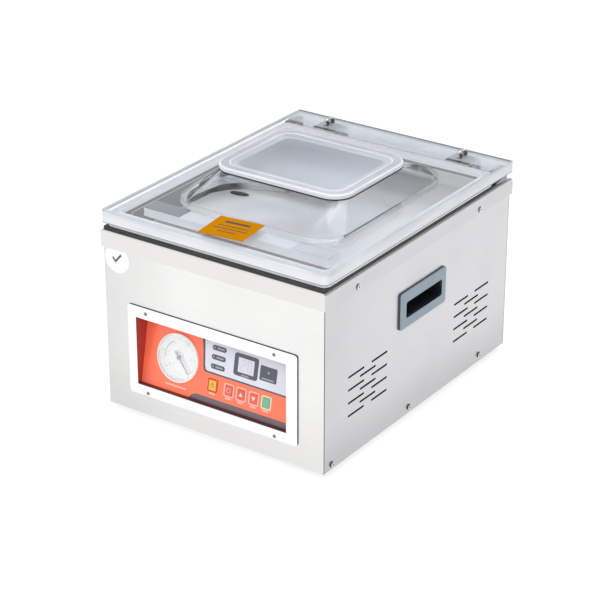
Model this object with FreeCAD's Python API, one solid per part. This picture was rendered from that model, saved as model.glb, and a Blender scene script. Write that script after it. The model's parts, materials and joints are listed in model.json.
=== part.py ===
import FreeCAD, Part
import math
import os

# Table-top chamber vacuum packing machine: a stainless cabinet with a sunken control panel,
# a shallow chamber under a hinged clear lid with a raised dome, a heated sealing bar that
# lifts against a silicone strip in the lid, and a vacuum pump below the chamber.
# Millimetres, +X right, +Y to the rear, +Z up. The origin is on the surface that the feet
# stand on, under the middle of the machine.

os.makedirs("parts", exist_ok=True)

V = FreeCAD.Vector
X_AXIS, Y_AXIS, Z_AXIS = V(1, 0, 0), V(0, 1, 0), V(0, 0, 1)

# ---------------------------------------------------------------- driving dimensions
CABINET_W = 325.0
CABINET_D = 426.0
CABINET_H = 238.0
SHEET = 1.2                 # stainless sheet
RETURN_DEPTH = 21.8         # folded edge of the front and rear panels
FOOT_H = 8.0
FOOT_R = 12.0
FOOT_WELL = 3.5             # counterbore for the foot's screw
RIM_OVER = 2.5              # hemmed skirt of the deck, outside the cabinet
RIM_DROP = 22.4
REAR_BEND_R = 7.0           # the deck's rear edge is bent wider than the others
FIT_GAP = 0.05              # running fit of pins and screws, on the radius
PANEL_GAP = 0.5             # joint between the front panel and each side panel

FRONT = -CABINET_D / 2
REAR = CABINET_D / 2
SIDE = CABINET_W / 2
BASE_Z = FOOT_H
DECK_Z = FOOT_H + CABINET_H

# chamber pan under the deck
PAN_X = 150.8
PAN_FRONT = FRONT + 33.2
PAN_REAR = FRONT + 389.0
PAN_FLOOR_Z = DECK_Z - 26.0
PAN_CORNER_R = 12.0
PAN_FLOOR_R = 10.0
PAN_FLANGE = 8.0            # the pan's flat edge, spot-welded under the deck
PORT_X, PORT_Y = -127.0, 21.0
PORT_BODY_R = 9.0

# lid
GASKET_T = 3.0
LIP_T = 6.0
PLATE_T = 15.0
LID_X = 166.5
LID_FRONT = FRONT - 2.0
LID_REAR = FRONT + 425.0
PLATE_CORNER_R, PLATE_REAR_R = 9.0, 2.0
LIP_X = 162.0
LIP_FRONT = FRONT + 4.6
LIP_REAR = FRONT + 385.0
LIP_FRONT_W, LIP_REAR_W = 14.4, 12.0
LIP_Z = DECK_Z + GASKET_T
PLATE_Z = LIP_Z + LIP_T
LID_TOP = PLATE_Z + PLATE_T
DOME_H = 32.0
DOME_FRONT, DOME_REAR = FRONT + 75.0, FRONT + 345.0
DOME_X = 120.0
CROWN_FRONT, CROWN_REAR = FRONT + 131.0, FRONT + 289.5
CROWN_X = 97.0
CROWN_T = 6.7
CROWN_R = 27.0
DISH_INSET, DISH_SLOPE, DISH_DEPTH = 13.0, 9.0, 2.5
# the hollow's mouth and the bend above it: insets from the dome's foot along X and Y, corner radius
HOLLOW_MOUTH = (2.0, -3.0, 38.0)
HOLLOW_BEND = (9.0, 6.0, 33.0)
HOLLOW_BEND_H = 12.0
HOLLOW_TOP, HOLLOW_TOP_R = 7.0, 21.0
CEILING = 3.5               # from the hollow's top to the crown's underside

# hinges
HINGE_X = 103.0
PIN_Y = FRONT + 419.0
PIN_Z = DECK_Z + 4.5
PIN_R = 2.0
KNUCKLE_R = 4.2
BOLT_YS = (FRONT + 397.0, FRONT + 409.0)
BOLT_R = 2.5
HINGE_FRONT = FRONT + 389.0
HINGE_HALF = 17.0           # half the length of a hinge along its pin
KNUCKLE_HALF = 8.5          # half the length of its middle knuckle
LEAF_T = 2.0

# sealing bar and the silicone strip above it
BAR_Y = FRONT + 59.5
BAR_TRAVEL = 5.0
BAR_X = 133.0
LIFT_X = 100.0
LIFT_PIN_R = 4.0
STRIP_GAP = 0.7             # left between tape and strip with the bar fully up
PAD_T, PAD_L = 1.5, 54.0
HOLDER_X, HOLDER_HALF, HOLDER_H = 136.0, 12.5, 11.0
HOLDER_TOP = PLATE_Z - PAD_T
HOLDER_LOW = HOLDER_TOP - HOLDER_H
GROOVE_H = 3.0              # how far the silicone strip is let into its holder
STRIP_X, STRIP_HALF, STRIP_PROUD = 131.0, 6.0, 3.5
TAPE_T, TAPE_SIDE_H = 0.3, 6.0
WIRE_T, WIRE_HALF = 0.5, 3.0
BAR_H, BAR_HALF = 9.0, 9.5
TAPE_TOP = HOLDER_LOW - STRIP_PROUD - STRIP_GAP - BAR_TRAVEL
BAR_TOP = TAPE_TOP - TAPE_T - WIRE_T
BAR_LOW = BAR_TOP - BAR_H

# control recess in the front: the window and the tilted panel behind it
WINDOW_X0, WINDOW_X1 = -115.0, 109.5
WINDOW_Z0, WINDOW_Z1 = BASE_Z + 40.5, BASE_Z + 132.5
WINDOW_CLEAR = 0.5
RECESS_LOW, RECESS_HIGH = 5.6, 24.0
TRAY_WALL = 1.5
BEZEL_X0, BEZEL_X1 = -127.5, 125.5
BEZEL_Z0, BEZEL_Z1 = BASE_Z + 27.0, BASE_Z + 147.8
BEZEL_T = 1.5
BEZEL_SCREW_R = 1.25
FASCIA_T = 2.0
TILT = math.atan2(RECESS_HIGH - RECESS_LOW, WINDOW_Z1 - WINDOW_Z0)
PANEL = FreeCAD.Placement(
    V(0, FRONT + RECESS_LOW, WINDOW_Z0), FreeCAD.Rotation(X_AXIS, 90 - math.degrees(TILT))
)

# controls, as (across, up the panel) from the middle of the machine and the window's foot
GAUGE_AT = (-62.7, 45.4)
GAUGE_R, GAUGE_PROUD, GAUGE_DEPTH = 31.5, 3.0, 26.0
DIAL_R, DIAL_T, DIAL_BACK = 29.5, 1.0, -2.5
LENS_LOW, LENS_T = 1.1, 1.4
SPINDLE_R = 1.0
NEEDLE_REST_DEG = -48.0
KEY_UP = 24.6
KEY_SIZE = (11.0, 13.0)
KEY_R, KEY_PROUD, KEY_FLANGE = 1.2, 0.9, 1.2
KEYS_ACROSS = {
    "key_power": -7.8, "key_stop": 16.6, "key_up": 34.8, "key_down": 53.6, "key_start": 72.1
}
SELECT_AT, SELECT_SIZE = (71.0, 60.1), (24.5, 18.5)
KEY_CLEAR = 0.25
KEY_BACK = -FASCIA_T - 1.4
DISPLAY_AT, DISPLAY_SIZE, DISPLAY_WINDOW = (38.0, 61.3), (35.0, 28.2), (24.0, 19.0)
LAMPS_AT = ((-10.3, 72.8), (-10.3, 60.9), (-10.3, 48.9))
LAMP_R, LAMP_PROUD = 1.2, 0.6
BOARD_DEPTH, BOARD_T = 12.4, 1.6

# sides: recessed handles, vent slots and screws
HANDLE_Y0, HANDLE_Y1 = FRONT + 161.0, FRONT + 267.0
HANDLE_Z0, HANDLE_Z1 = BASE_Z + 124.5, BASE_Z + 174.0
POCKET_Y0, POCKET_Y1 = FRONT + 174.0, FRONT + 257.0
POCKET_Z0, POCKET_Z1 = BASE_Z + 137.4, BASE_Z + 159.0
POCKET_TOP = BASE_Z + 168.5
POCKET_DEPTH = 22.0
HANDLE_PROUD = 3.0
HANDLE_WALL = 2.0
SLOT_L, SLOT_H = 35.0, 2.8
SLOT_STEP_Y, SLOT_STEP_Z = 25.4, 17.4
SLOT_GROUP_YS = (FRONT + 94.0, FRONT + 336.5)
SLOT_GROUP_Z = BASE_Z + 81.6
SCREW_R = 2.0
RIM_SCREW_YS = (FRONT + 66.8, FRONT + 346.5)
RIM_SCREW_Z = BASE_Z + 221.4
SIDE_SCREWS = (
    (FRONT + 17.5, BASE_Z + 6.5), (FRONT + 189.3, BASE_Z + 8.0), (FRONT + 361.1, BASE_Z + 9.7)
)
SCREW_HEAD_R = 3.8
BEZEL_SCREWS = [(x, BASE_Z + z) for x in (-99.5, 92.4) for z in (31.0, 140.3)]
FOOT_AT = [(x, y) for x in (-130.0, 130.0) for y in (-180.0, 180.0)]

# works below the chamber
PUMP_BASE_Z, PUMP_TOP_Z = 20.0, 140.0
PUMP_FRONT = 40.0
MOTOR_Y, MOTOR_Z, MOTOR_R = 100.0, 82.0, 52.0
MOTOR_X0, MOTOR_X1 = -26.0, 96.0
PUMP_X0, PUMP_X1 = -150.0, -30.0
SHAFT_R = 6.0
HOSE_R, HOSE_BORE_R, BARB_R = 8.5, 6.5, 6.4
LOW_HOSE_Z = 36.0
VALVE_Y, VALVE_HALF, VALVE_TOP_Z = -45.0, 20.0, 60.0
SIGHT_X, SIGHT_Z, SIGHT_R = -62.0, 62.0, 9.0
INLET_X, INLET_Z = -112.0, BASE_Z + 45.0
INLET_HALF_W, INLET_HALF_H = 24.0, 14.0


# ---------------------------------------------------------------- shape helpers
def block(x0, x1, y0, y1, z0, z1):
    return Part.makeBox(x1 - x0, y1 - y0, z1 - z0, V(x0, y0, z0))


def rod(radius, start, axis, length):
    return Part.makeCylinder(radius, length, V(*start), axis)


def joined(*shapes):
    return shapes[0].multiFuse(list(shapes[1:])).removeSplitter()


def group(shapes):
    return Part.makeCompound(list(shapes))


def placed(shape, point, direction):
    """A shape drawn about +Z at the origin, moved to a point and turned to a direction."""
    copy = shape.copy()
    copy.Placement = FreeCAD.Placement(V(*point), FreeCAD.Rotation(Z_AXIS, direction))
    return copy


def on_panel(shape):
    """A shape drawn on the flat panel (x across, y up, z out of it), put on the tilted one."""
    copy = shape.copy()
    copy.Placement = PANEL.multiply(shape.Placement)
    return copy


def rounded_wire(corners, plane):
    """Closed outline through (a, b, radius) corners; plane turns (a, b) into a point."""
    tangents = []
    for i, (a, b, radius) in enumerate(corners):
        ends = []
        for other in (corners[i - 1], corners[(i + 1) % len(corners)]):
            da, db = other[0] - a, other[1] - b
            length = math.hypot(da, db)
            ends.append((da / length, db / length))
        half = math.acos(ends[0][0] * ends[1][0] + ends[0][1] * ends[1][1]) / 2
        reach = radius / math.tan(half)
        middle = radius / math.sin(half) - radius
        inward = (ends[0][0] + ends[1][0], ends[0][1] + ends[1][1])
        size = math.hypot(*inward)
        first = (a + ends[0][0] * reach, b + ends[0][1] * reach)
        mid = (a + inward[0] / size * middle, b + inward[1] / size * middle)
        last = (a + ends[1][0] * reach, b + ends[1][1] * reach)
        tangents.append((first, mid, last, radius))
    edges = []
    for i, (first, mid, last, radius) in enumerate(tangents):
        if radius > 0:
            edges.append(Part.Arc(plane(*first), plane(*mid), plane(*last)).toShape())
        following = tangents[(i + 1) % len(tangents)][0]
        if math.hypot(following[0] - last[0], following[1] - last[1]) > 1e-6:
            edges.append(Part.LineSegment(plane(*last), plane(*following)).toShape())
    return Part.Wire(edges)


def rect_wire(x0, x1, y0, y1, radius, z):
    corners = [(x0, y0, radius), (x1, y0, radius), (x1, y1, radius), (x0, y1, radius)]
    return rounded_wire(corners, lambda a, b: V(a, b, z))


def rounded_plate(x0, x1, y0, y1, radius, z0, z1):
    return Part.Face(rect_wire(x0, x1, y0, y1, radius, z0)).extrude(V(0, 0, z1 - z0))


def panel_plate(at, size, radius, z0, z1):
    """A rounded block on the flat panel, centred at (across, up)."""
    half_w, half_h = size[0] / 2, size[1] / 2
    return rounded_plate(at[0] - half_w, at[0] + half_w, at[1] - half_h, at[1] + half_h, radius, z0, z1)


def loft(low, high):
    return Part.makeLoft([low, high], True, True)


def folded_top(x0, x1, y0, y1, z0, z1, side_r, front_r, rear_r):
    """A block whose top edges are bent to three radii: sides, front and rear."""
    across = rounded_wire(
        [(x0, z0, 0), (x1, z0, 0), (x1, z1, side_r), (x0, z1, side_r)], lambda a, b: V(a, y0, b)
    )
    along = rounded_wire(
        [(y0, z0, 0), (y1, z0, 0), (y1, z1, rear_r), (y0, z1, front_r)], lambda a, b: V(x0, a, b)
    )
    wide = Part.Face(across).extrude(V(0, y1 - y0, 0))
    long = Part.Face(along).extrude(V(x1 - x0, 0, 0))
    return wide.common(long)


def drawn_pan(x0, x1, y0, y1, z0, z1, corner_r, floor_r):
    """A pressed pan's outer form: rounded upright corners and a rounded floor edge."""
    body = rounded_plate(x0, x1, y0, y1, corner_r, z0, z1)
    floor_edges = [e for e in body.Edges if e.BoundBox.ZMax < z0 + 0.01]
    return body.makeFillet(floor_r, floor_edges)


def top_edges(shape, z):
    return [e for e in shape.Edges if e.BoundBox.ZMin > z - 0.01 and e.BoundBox.ZMax < z + 0.01]


def hexagon(across_flats, z0, z1):
    radius = across_flats / math.sqrt(3)
    angles = [k * math.pi / 3 for k in range(7)]
    points = [V(radius * math.cos(a), radius * math.sin(a), z0) for a in angles]
    return Part.Face(Part.makePolygon(points)).extrude(V(0, 0, z1 - z0))


def pan_screw(head_r, head_h, shank_r, shank_l):
    """A domed cross-head screw along +Z, its head above z = 0 and its shank below."""
    head = rod(head_r, (0, 0, 0), Z_AXIS, head_h)
    head = head.makeFillet(head_h * 0.75, top_edges(head, head_h))
    arm, slot, depth = head_r * 0.55, head_r * 0.14, head_h * 0.45
    cross = block(-arm, arm, -slot, slot, head_h - depth, head_h).fuse(
        block(-slot, slot, -arm, arm, head_h - depth, head_h)
    )
    return joined(head.cut(cross), rod(shank_r, (0, 0, -shank_l), Z_AXIS, shank_l))


def hollow_tube(points, outer_r, inner_r):
    """A hose along straight runs joined by tangent arcs, with a bore."""
    edges, start = [], V(*points[0])
    for before, corner, after in zip(points, points[1:], points[2:]):
        before, corner, after = V(*before), V(*corner), V(*after)
        back, ahead = (before - corner), (after - corner)
        run = min(back.Length, ahead.Length)
        back.normalize()
        ahead.normalize()
        half = back.getAngle(ahead) / 2
        reach = 0.45 * run
        radius = reach * math.tan(half)
        middle = back + ahead
        middle.normalize()
        entry, leave = corner + back * reach, corner + ahead * reach
        mid = corner + middle * (radius / math.sin(half) - radius)
        edges.append(Part.LineSegment(start, entry).toShape())
        edges.append(Part.Arc(entry, mid, leave).toShape())
        start = leave
    edges.append(Part.LineSegment(start, V(*points[-1])).toShape())
    direction = V(*points[1]) - V(*points[0])
    skins = []
    for radius in (outer_r, inner_r):
        ring = Part.Wire([Part.makeCircle(radius, V(*points[0]), direction)])
        skins.append(Part.Wire(edges).makePipeShell([ring], True, False))
    return skins[0].cut(skins[1])


def side_slots(y_centre, x0, x1):
    """Eleven staggered vent slots in three columns of four, three and four."""
    slots = []
    for column, count in ((-1, 4), (0, 3), (1, 4)):
        for row in range(count):
            y = y_centre + column * SLOT_STEP_Y
            z = SLOT_GROUP_Z + (row - (count - 1) / 2) * SLOT_STEP_Z
            corners = [(-SLOT_L / 2, -SLOT_H / 2), (SLOT_L / 2, -SLOT_H / 2)]
            corners += [(SLOT_L / 2, SLOT_H / 2), (-SLOT_L / 2, SLOT_H / 2)]
            outline = rounded_wire(
                [(a, b, SLOT_H * 0.49) for a, b in corners], lambda a, b: V(x0, y + a, z + b)
            )
            slots.append(Part.Face(outline).extrude(V(x1 - x0, 0, 0)))
    return slots


# ---------------------------------------------------------------- cabinet
def screw_holes(side):
    """Clearance holes along X for the screws of one side (-1 left, +1 right)."""
    places = [(y, RIM_SCREW_Z) for y in RIM_SCREW_YS] + list(SIDE_SCREWS)
    start = SIDE + RIM_OVER + 1 if side > 0 else -(SIDE - 8)
    return [rod(SCREW_R + FIT_GAP, (start, y, z), -X_AXIS, RIM_OVER + 9) for y, z in places]


def both_screw_holes():
    return screw_holes(-1) + screw_holes(1)


def base_tray():
    """Floor sheet with four turned-up flanges, notched where the end panels' returns stand."""
    inner, play = SIDE - SHEET, 0.2
    flange_top = BASE_Z + SHEET + 20
    side_end = REAR - RETURN_DEPTH - 2 * SHEET - 2 * play
    end_half = SIDE - 4.0
    tray = block(-inner, inner, FRONT + SHEET, REAR - SHEET, BASE_Z, BASE_Z + SHEET)
    walls = []
    for side in (-1, 1):
        x = side * (inner - SHEET / 2)
        walls.append(block(x - SHEET / 2, x + SHEET / 2, -side_end, side_end, BASE_Z, flange_top))
        y = side * (REAR - 1.5 * SHEET)
        walls.append(block(-end_half, end_half, y - SHEET / 2, y + SHEET / 2, BASE_Z, flange_top))
    corners = [
        block(x0, x0 + SHEET, y0, y0 + RETURN_DEPTH + 2 * play, BASE_Z, flange_top)
        for x0 in (-inner, inner - SHEET)
        for y0 in (FRONT + SHEET - play, REAR - SHEET - RETURN_DEPTH - play)
    ]
    tray = joined(tray, *walls)
    tray = tray.cut(group(corners))
    holes = [rod(SCREW_R + FIT_GAP, (x, y, BASE_Z - 1), Z_AXIS, 4) for x, y in FOOT_AT]
    return tray.cut(group(holes + both_screw_holes()))


def end_panel(y_skin, inward, top):
    """A flat end panel with its two side edges folded inwards (inward is +1 or -1 along Y)."""
    y_fold = y_skin + inward * SHEET
    skin = block(-SIDE, SIDE, min(y_skin, y_fold), max(y_skin, y_fold), BASE_Z, top)
    y_end = y_fold + inward * RETURN_DEPTH
    returns = []
    for side in (-1, 1):
        x = side * (SIDE - 1.5 * SHEET)
        y0, y1 = min(y_fold, y_end), max(y_fold, y_end)
        returns.append(block(x - SHEET / 2, x + SHEET / 2, y0, y1, BASE_Z, top))
    shape = joined(skin, *returns)
    return shape.cut(group(both_screw_holes()))


def front_panel():
    rim = TRAY_WALL + WINDOW_CLEAR
    opening = block(
        WINDOW_X0 - rim, WINDOW_X1 + rim, FRONT - 1, FRONT + 3, WINDOW_Z0 - rim, WINDOW_Z1 + rim
    )
    holes = [rod(BEZEL_SCREW_R + FIT_GAP, (x, FRONT - 1, z), Y_AXIS, 4) for x, z in BEZEL_SCREWS]
    return end_panel(FRONT, 1, DECK_Z - SHEET).cut(group([opening] + holes))


def rear_panel():
    """Plain rear sheet with the mains inlet's cut-out and three columns of vent slots."""
    shape = end_panel(REAR, -1, DECK_Z - SHEET - REAR_BEND_R + 2)
    inlet_half_w, inlet_half_h = INLET_HALF_W + 0.2, INLET_HALF_H + 0.2
    cuts = [
        block(
            INLET_X - inlet_half_w, INLET_X + inlet_half_w, REAR - 3, REAR + 1,
            INLET_Z - inlet_half_h, INLET_Z + inlet_half_h,
        )
    ]
    half_l, half_h, end_r = 22.0, 1.5, 1.4
    vents_z, step_z = BASE_Z + 120, 12.0
    for x in (-60.0, 0.0, 60.0):
        for row in range(6):
            z = vents_z + row * step_z
            corners = [(x - half_l, z - half_h), (x + half_l, z - half_h)]
            corners += [(x + half_l, z + half_h), (x - half_l, z + half_h)]
            outline = rounded_wire([(a, b, end_r) for a, b in corners], lambda a, b: V(a, REAR - 3, b))
            cuts.append(Part.Face(outline).extrude(V(0, 4, 0)))
    return shape.cut(group(cuts))


def side_panel(side):
    x0, x1 = sorted((side * (SIDE - SHEET), side * SIDE))
    gap = SHEET + PANEL_GAP
    panel = block(x0, x1, FRONT + gap, REAR - gap, BASE_Z, DECK_Z - SHEET)
    cuts = screw_holes(side)
    for y in SLOT_GROUP_YS:
        cuts += side_slots(y, x0 - 1, x1 + 1)
    rim = HANDLE_WALL + 0.5
    cuts.append(
        block(x0 - 1, x1 + 1, POCKET_Y0 - rim, POCKET_Y1 + rim, POCKET_Z0 - rim, POCKET_TOP + rim)
    )
    notch = REAR_BEND_R - RIM_OVER      # clears the deck's bent rear edge
    cuts.append(block(x0 - 1, x1 + 1, REAR - notch, REAR, DECK_Z - 2 * SHEET, DECK_Z))
    return panel.cut(group(cuts))


def deck_frame():
    outer_x, outer_y = SIDE + RIM_OVER, REAR + RIM_OVER
    low = DECK_Z - RIM_DROP
    skin = folded_top(-outer_x, outer_x, -outer_y, outer_y, low, DECK_Z, 3.0, 1.5, REAR_BEND_R)
    inner_r = REAR_BEND_R - RIM_OVER
    hollow = folded_top(-SIDE, SIDE, FRONT, REAR, low - 1, DECK_Z - SHEET, 0, 0, inner_r)
    opening = rounded_plate(-PAN_X, PAN_X, PAN_FRONT, PAN_REAR, PAN_CORNER_R, DECK_Z - 5, DECK_Z + 1)
    return skin.cut(hollow).cut(group([opening] + both_screw_holes()))


def chamber_pan():
    t = SHEET
    top = DECK_Z - SHEET
    outer = drawn_pan(
        -PAN_X - t, PAN_X + t, PAN_FRONT - t, PAN_REAR + t, PAN_FLOOR_Z - t, top,
        PAN_CORNER_R + t, PAN_FLOOR_R + t,
    )
    inner = drawn_pan(
        -PAN_X, PAN_X, PAN_FRONT, PAN_REAR, PAN_FLOOR_Z, top + 1, PAN_CORNER_R, PAN_FLOOR_R
    )
    edge = PAN_FLANGE
    flange = rounded_plate(
        -PAN_X - edge, PAN_X + edge, PAN_FRONT - edge, PAN_REAR + edge, PAN_CORNER_R + edge, top - t, top
    )
    holes = [rod(LIFT_PIN_R + 0.3, (x, BAR_Y, PAN_FLOOR_Z - 3), Z_AXIS, 6) for x in (-LIFT_X, LIFT_X)]
    holes.append(rod(PORT_BODY_R + FIT_GAP, (PORT_X, PORT_Y, PAN_FLOOR_Z - 3), Z_AXIS, 6))
    return joined(outer, flange).cut(inner).cut(group(holes))


def lid_gasket():
    """Flat rubber ring on the deck, with two taller blocks under the lid's rear strip."""
    inner_x, outer_x = PAN_X + 2.5, SIDE + 1.0
    rear, band = LIP_REAR + 1.0, 13.0
    rest_rear, rest_gap = FRONT + 415.0, 0.4
    ring = rounded_plate(-outer_x, outer_x, FRONT - 1.0, rear, 5.0, DECK_Z, LIP_Z)
    ring = ring.cut(
        rounded_plate(-inner_x, inner_x, FRONT + band, rear - band, 8.0, DECK_Z - 1, LIP_Z + 1)
    )
    rests = []
    for side in (-1, 1):
        x0, x1 = sorted((side * inner_x, side * outer_x))
        rests.append(block(x0, x1, rear - 8, rest_rear, DECK_Z, LIP_Z))
        rests.append(block(x0, x1, rear + 0.6, rest_rear, DECK_Z, PLATE_Z - rest_gap))
    return joined(ring, *rests)


def rubber_feet():
    feet = []
    for x, y in FOOT_AT:
        foot = Part.makeCone(FOOT_R, FOOT_R + 1.5, FOOT_H, V(x, y, 0), Z_AXIS)
        well = rod(5.0, (x, y, -1), Z_AXIS, FOOT_WELL + 1)
        feet.append(foot.cut(well).cut(rod(SCREW_R + FIT_GAP, (x, y, 0), Z_AXIS, FOOT_H + 1)))
    return group(feet)


def foot_screws():
    screw = pan_screw(SCREW_HEAD_R, 1.8, SCREW_R, 8.0)
    return group(placed(screw, (x, y, FOOT_WELL), -Z_AXIS) for x, y in FOOT_AT)


def cabinet_screws():
    """Domed screws of both sides: two through the skirt and three near the foot of the panel."""
    rim_screw = pan_screw(SCREW_HEAD_R, 1.4, SCREW_R, 6.5)
    side_screw = pan_screw(SCREW_HEAD_R, 2.2, SCREW_R, 5.5)
    screws = []
    for side in (-1, 1):
        out, rim_x = X_AXIS * side, side * (SIDE + RIM_OVER)
        screws += [placed(rim_screw, (rim_x, y, RIM_SCREW_Z), out) for y in RIM_SCREW_YS]
        screws += [placed(side_screw, (side * SIDE, y, z), out) for y, z in SIDE_SCREWS]
    return group(screws)


def handle(side):
    """Recessed carrying handle: a proud flange and a finger pocket that opens upwards inside."""
    face = SIDE + HANDLE_PROUD

    def across(x0, x1, y0, y1, z0, z1, radius):
        outline = rounded_wire(
            [(y0, z0, radius), (y1, z0, radius), (y1, z1, radius), (y0, z1, radius)],
            lambda a, b: V(side * x0, a, b),
        )
        return Part.Face(outline).extrude(V(side * (x1 - x0), 0, 0))

    flange = across(SIDE, face, HANDLE_Y0, HANDLE_Y1, HANDLE_Z0, HANDLE_Z1, 4.0)
    rim = [
        e for e in flange.Edges
        if abs(e.BoundBox.XMin - side * face) < 0.01 and e.BoundBox.XLength < 0.01
    ]
    flange = flange.makeFillet(1.2, rim)
    wall = HANDLE_WALL
    body = across(
        SIDE - POCKET_DEPTH - wall, SIDE, POCKET_Y0 - wall, POCKET_Y1 + wall,
        POCKET_Z0 - wall, POCKET_TOP + wall, 5.0,
    )
    mouth = across(SIDE - POCKET_DEPTH, face + 1, POCKET_Y0, POCKET_Y1, POCKET_Z0, POCKET_Z1, 3.0)
    cavity = across(SIDE - POCKET_DEPTH, SIDE - 1, POCKET_Y0, POCKET_Y1, POCKET_Z0, POCKET_TOP, 3.0)
    return joined(flange, body).cut(mouth.fuse(cavity))


# ---------------------------------------------------------------- control panel
def bezel():
    corners = [(BEZEL_X0, BEZEL_Z0), (BEZEL_X1, BEZEL_Z0), (BEZEL_X1, BEZEL_Z1), (BEZEL_X0, BEZEL_Z1)]
    outline = rounded_wire([(a, b, 4.0) for a, b in corners], lambda a, b: V(a, FRONT - BEZEL_T, b))
    plate = Part.Face(outline).extrude(V(0, BEZEL_T, 0))
    window = block(WINDOW_X0, WINDOW_X1, FRONT - 3, FRONT + 1, WINDOW_Z0, WINDOW_Z1)
    holes = [rod(BEZEL_SCREW_R + FIT_GAP, (x, FRONT - 3, z), Y_AXIS, 4) for x, z in BEZEL_SCREWS]
    return plate.cut(group([window] + holes))


def bezel_screws():
    screw = pan_screw(2.3, 0.8, BEZEL_SCREW_R, 5.5)
    return group(placed(screw, (x, FRONT - BEZEL_T, z), -Y_AXIS) for x, z in BEZEL_SCREWS)


def behind_panel(depth):
    """Everything further back than a plane that lies this deep behind the panel's face."""
    return on_panel(block(-200, 200, -60, 160, -80, -depth))


def recess_space():
    return block(WINDOW_X0, WINDOW_X1, FRONT, FRONT + 40, WINDOW_Z0, WINDOW_Z1)


def control_tray():
    wall = TRAY_WALL
    outer = block(
        WINDOW_X0 - wall, WINDOW_X1 + wall, FRONT, FRONT + 40, WINDOW_Z0 - wall, WINDOW_Z1 + wall
    )
    return outer.cut(recess_space()).cut(behind_panel(FASCIA_T))


def control_fascia():
    slab = on_panel(block(-200, 200, -60, 160, -FASCIA_T, 0)).common(recess_space())
    low, high = -FASCIA_T - 1, 1
    cuts = [rod(GAUGE_R + 0.1, (*GAUGE_AT, low), Z_AXIS, high - low)]
    keys = [((across, KEY_UP), KEY_SIZE) for across in KEYS_ACROSS.values()]
    for at, size in keys + [(SELECT_AT, SELECT_SIZE)]:
        size = (size[0] + 2 * KEY_CLEAR, size[1] + 2 * KEY_CLEAR)
        cuts.append(panel_plate(at, size, KEY_R + KEY_CLEAR, low, high))
    cuts.append(panel_plate(DISPLAY_AT, DISPLAY_WINDOW, 1.0, low, high))
    cuts += [rod(LAMP_R + FIT_GAP, (a, up, low), Z_AXIS, high - low) for a, up in LAMPS_AT]
    return slab.cut(on_panel(group(cuts)))


def gauge_case():
    case = rod(GAUGE_R, (*GAUGE_AT, -GAUGE_DEPTH), Z_AXIS, GAUGE_DEPTH + GAUGE_PROUD)
    case = case.makeFillet(1.0, top_edges(case, GAUGE_PROUD))
    neck_l = 12.0
    neck = rod(7.0, (*GAUGE_AT, -GAUGE_DEPTH - neck_l), Z_AXIS, neck_l + 2)
    bore = rod(DIAL_R, (*GAUGE_AT, DIAL_BACK), Z_AXIS, 8)
    socket = rod(SPINDLE_R + FIT_GAP, (*GAUGE_AT, -8), Z_AXIS, 8)
    return on_panel(joined(case, neck).cut(bore).cut(socket))


def gauge_dial():
    disc = rod(DIAL_R - FIT_GAP, (*GAUGE_AT, DIAL_BACK), Z_AXIS, DIAL_T)
    return on_panel(disc.cut(rod(SPINDLE_R + FIT_GAP, (*GAUGE_AT, DIAL_BACK - 1), Z_AXIS, DIAL_T + 2)))


def gauge_lens():
    return on_panel(rod(DIAL_R - FIT_GAP, (*GAUGE_AT, LENS_LOW), Z_AXIS, LENS_T))


def gauge_needle():
    """Tapered pointer with a short tail, a hub and a spindle; at zero it points low right."""
    low, high = -1.1, -0.6
    tail, tip, root, point = -9.0, 24.0, 1.6, 0.5
    corners = [(tail, -root), (tip, -point), (tip, point), (tail, root), (tail, -root)]
    blade = Part.Face(Part.makePolygon([V(a, b, low) for a, b in corners])).extrude(V(0, 0, high - low))
    hub = rod(3.0, (0, 0, low), Z_AXIS, 1.3)
    spindle = rod(SPINDLE_R, (0, 0, -7), Z_AXIS, 7)
    needle = joined(blade, hub, spindle)
    needle.Placement = FreeCAD.Placement(V(*GAUGE_AT, 0), FreeCAD.Rotation(Z_AXIS, NEEDLE_REST_DEG))
    return on_panel(needle)


def key(at, size):
    """A push key: a cap through the fascia and a wider flange behind it."""
    cap = panel_plate(at, size, KEY_R, -FASCIA_T - 0.5, KEY_PROUD)
    cap = cap.makeFillet(0.5, top_edges(cap, KEY_PROUD))
    flange_size = (size[0] + 2 * KEY_FLANGE, size[1] + 2 * KEY_FLANGE)
    flange = panel_plate(at, flange_size, 1.5, KEY_BACK, -FASCIA_T - 0.3)
    return on_panel(joined(cap, flange))


def display_frame():
    frame = panel_plate(DISPLAY_AT, DISPLAY_SIZE, 3.5, 0, 0.8)
    return on_panel(frame.cut(panel_plate(DISPLAY_AT, DISPLAY_WINDOW, 1.0, -1, 2)))


def display_module():
    size = (DISPLAY_WINDOW[0] - 0.4, DISPLAY_WINDOW[1] - 0.4)
    return on_panel(panel_plate(DISPLAY_AT, size, 0.8, -BOARD_DEPTH, 0.2))


def indicator_lamps():
    lamps = []
    for across, up in LAMPS_AT:
        lamp = rod(LAMP_R, (across, up, -BOARD_DEPTH), Z_AXIS, BOARD_DEPTH + LAMP_PROUD)
        lamps.append(on_panel(lamp.makeFillet(0.5, top_edges(lamp, LAMP_PROUD))))
    return group(lamps)


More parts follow.
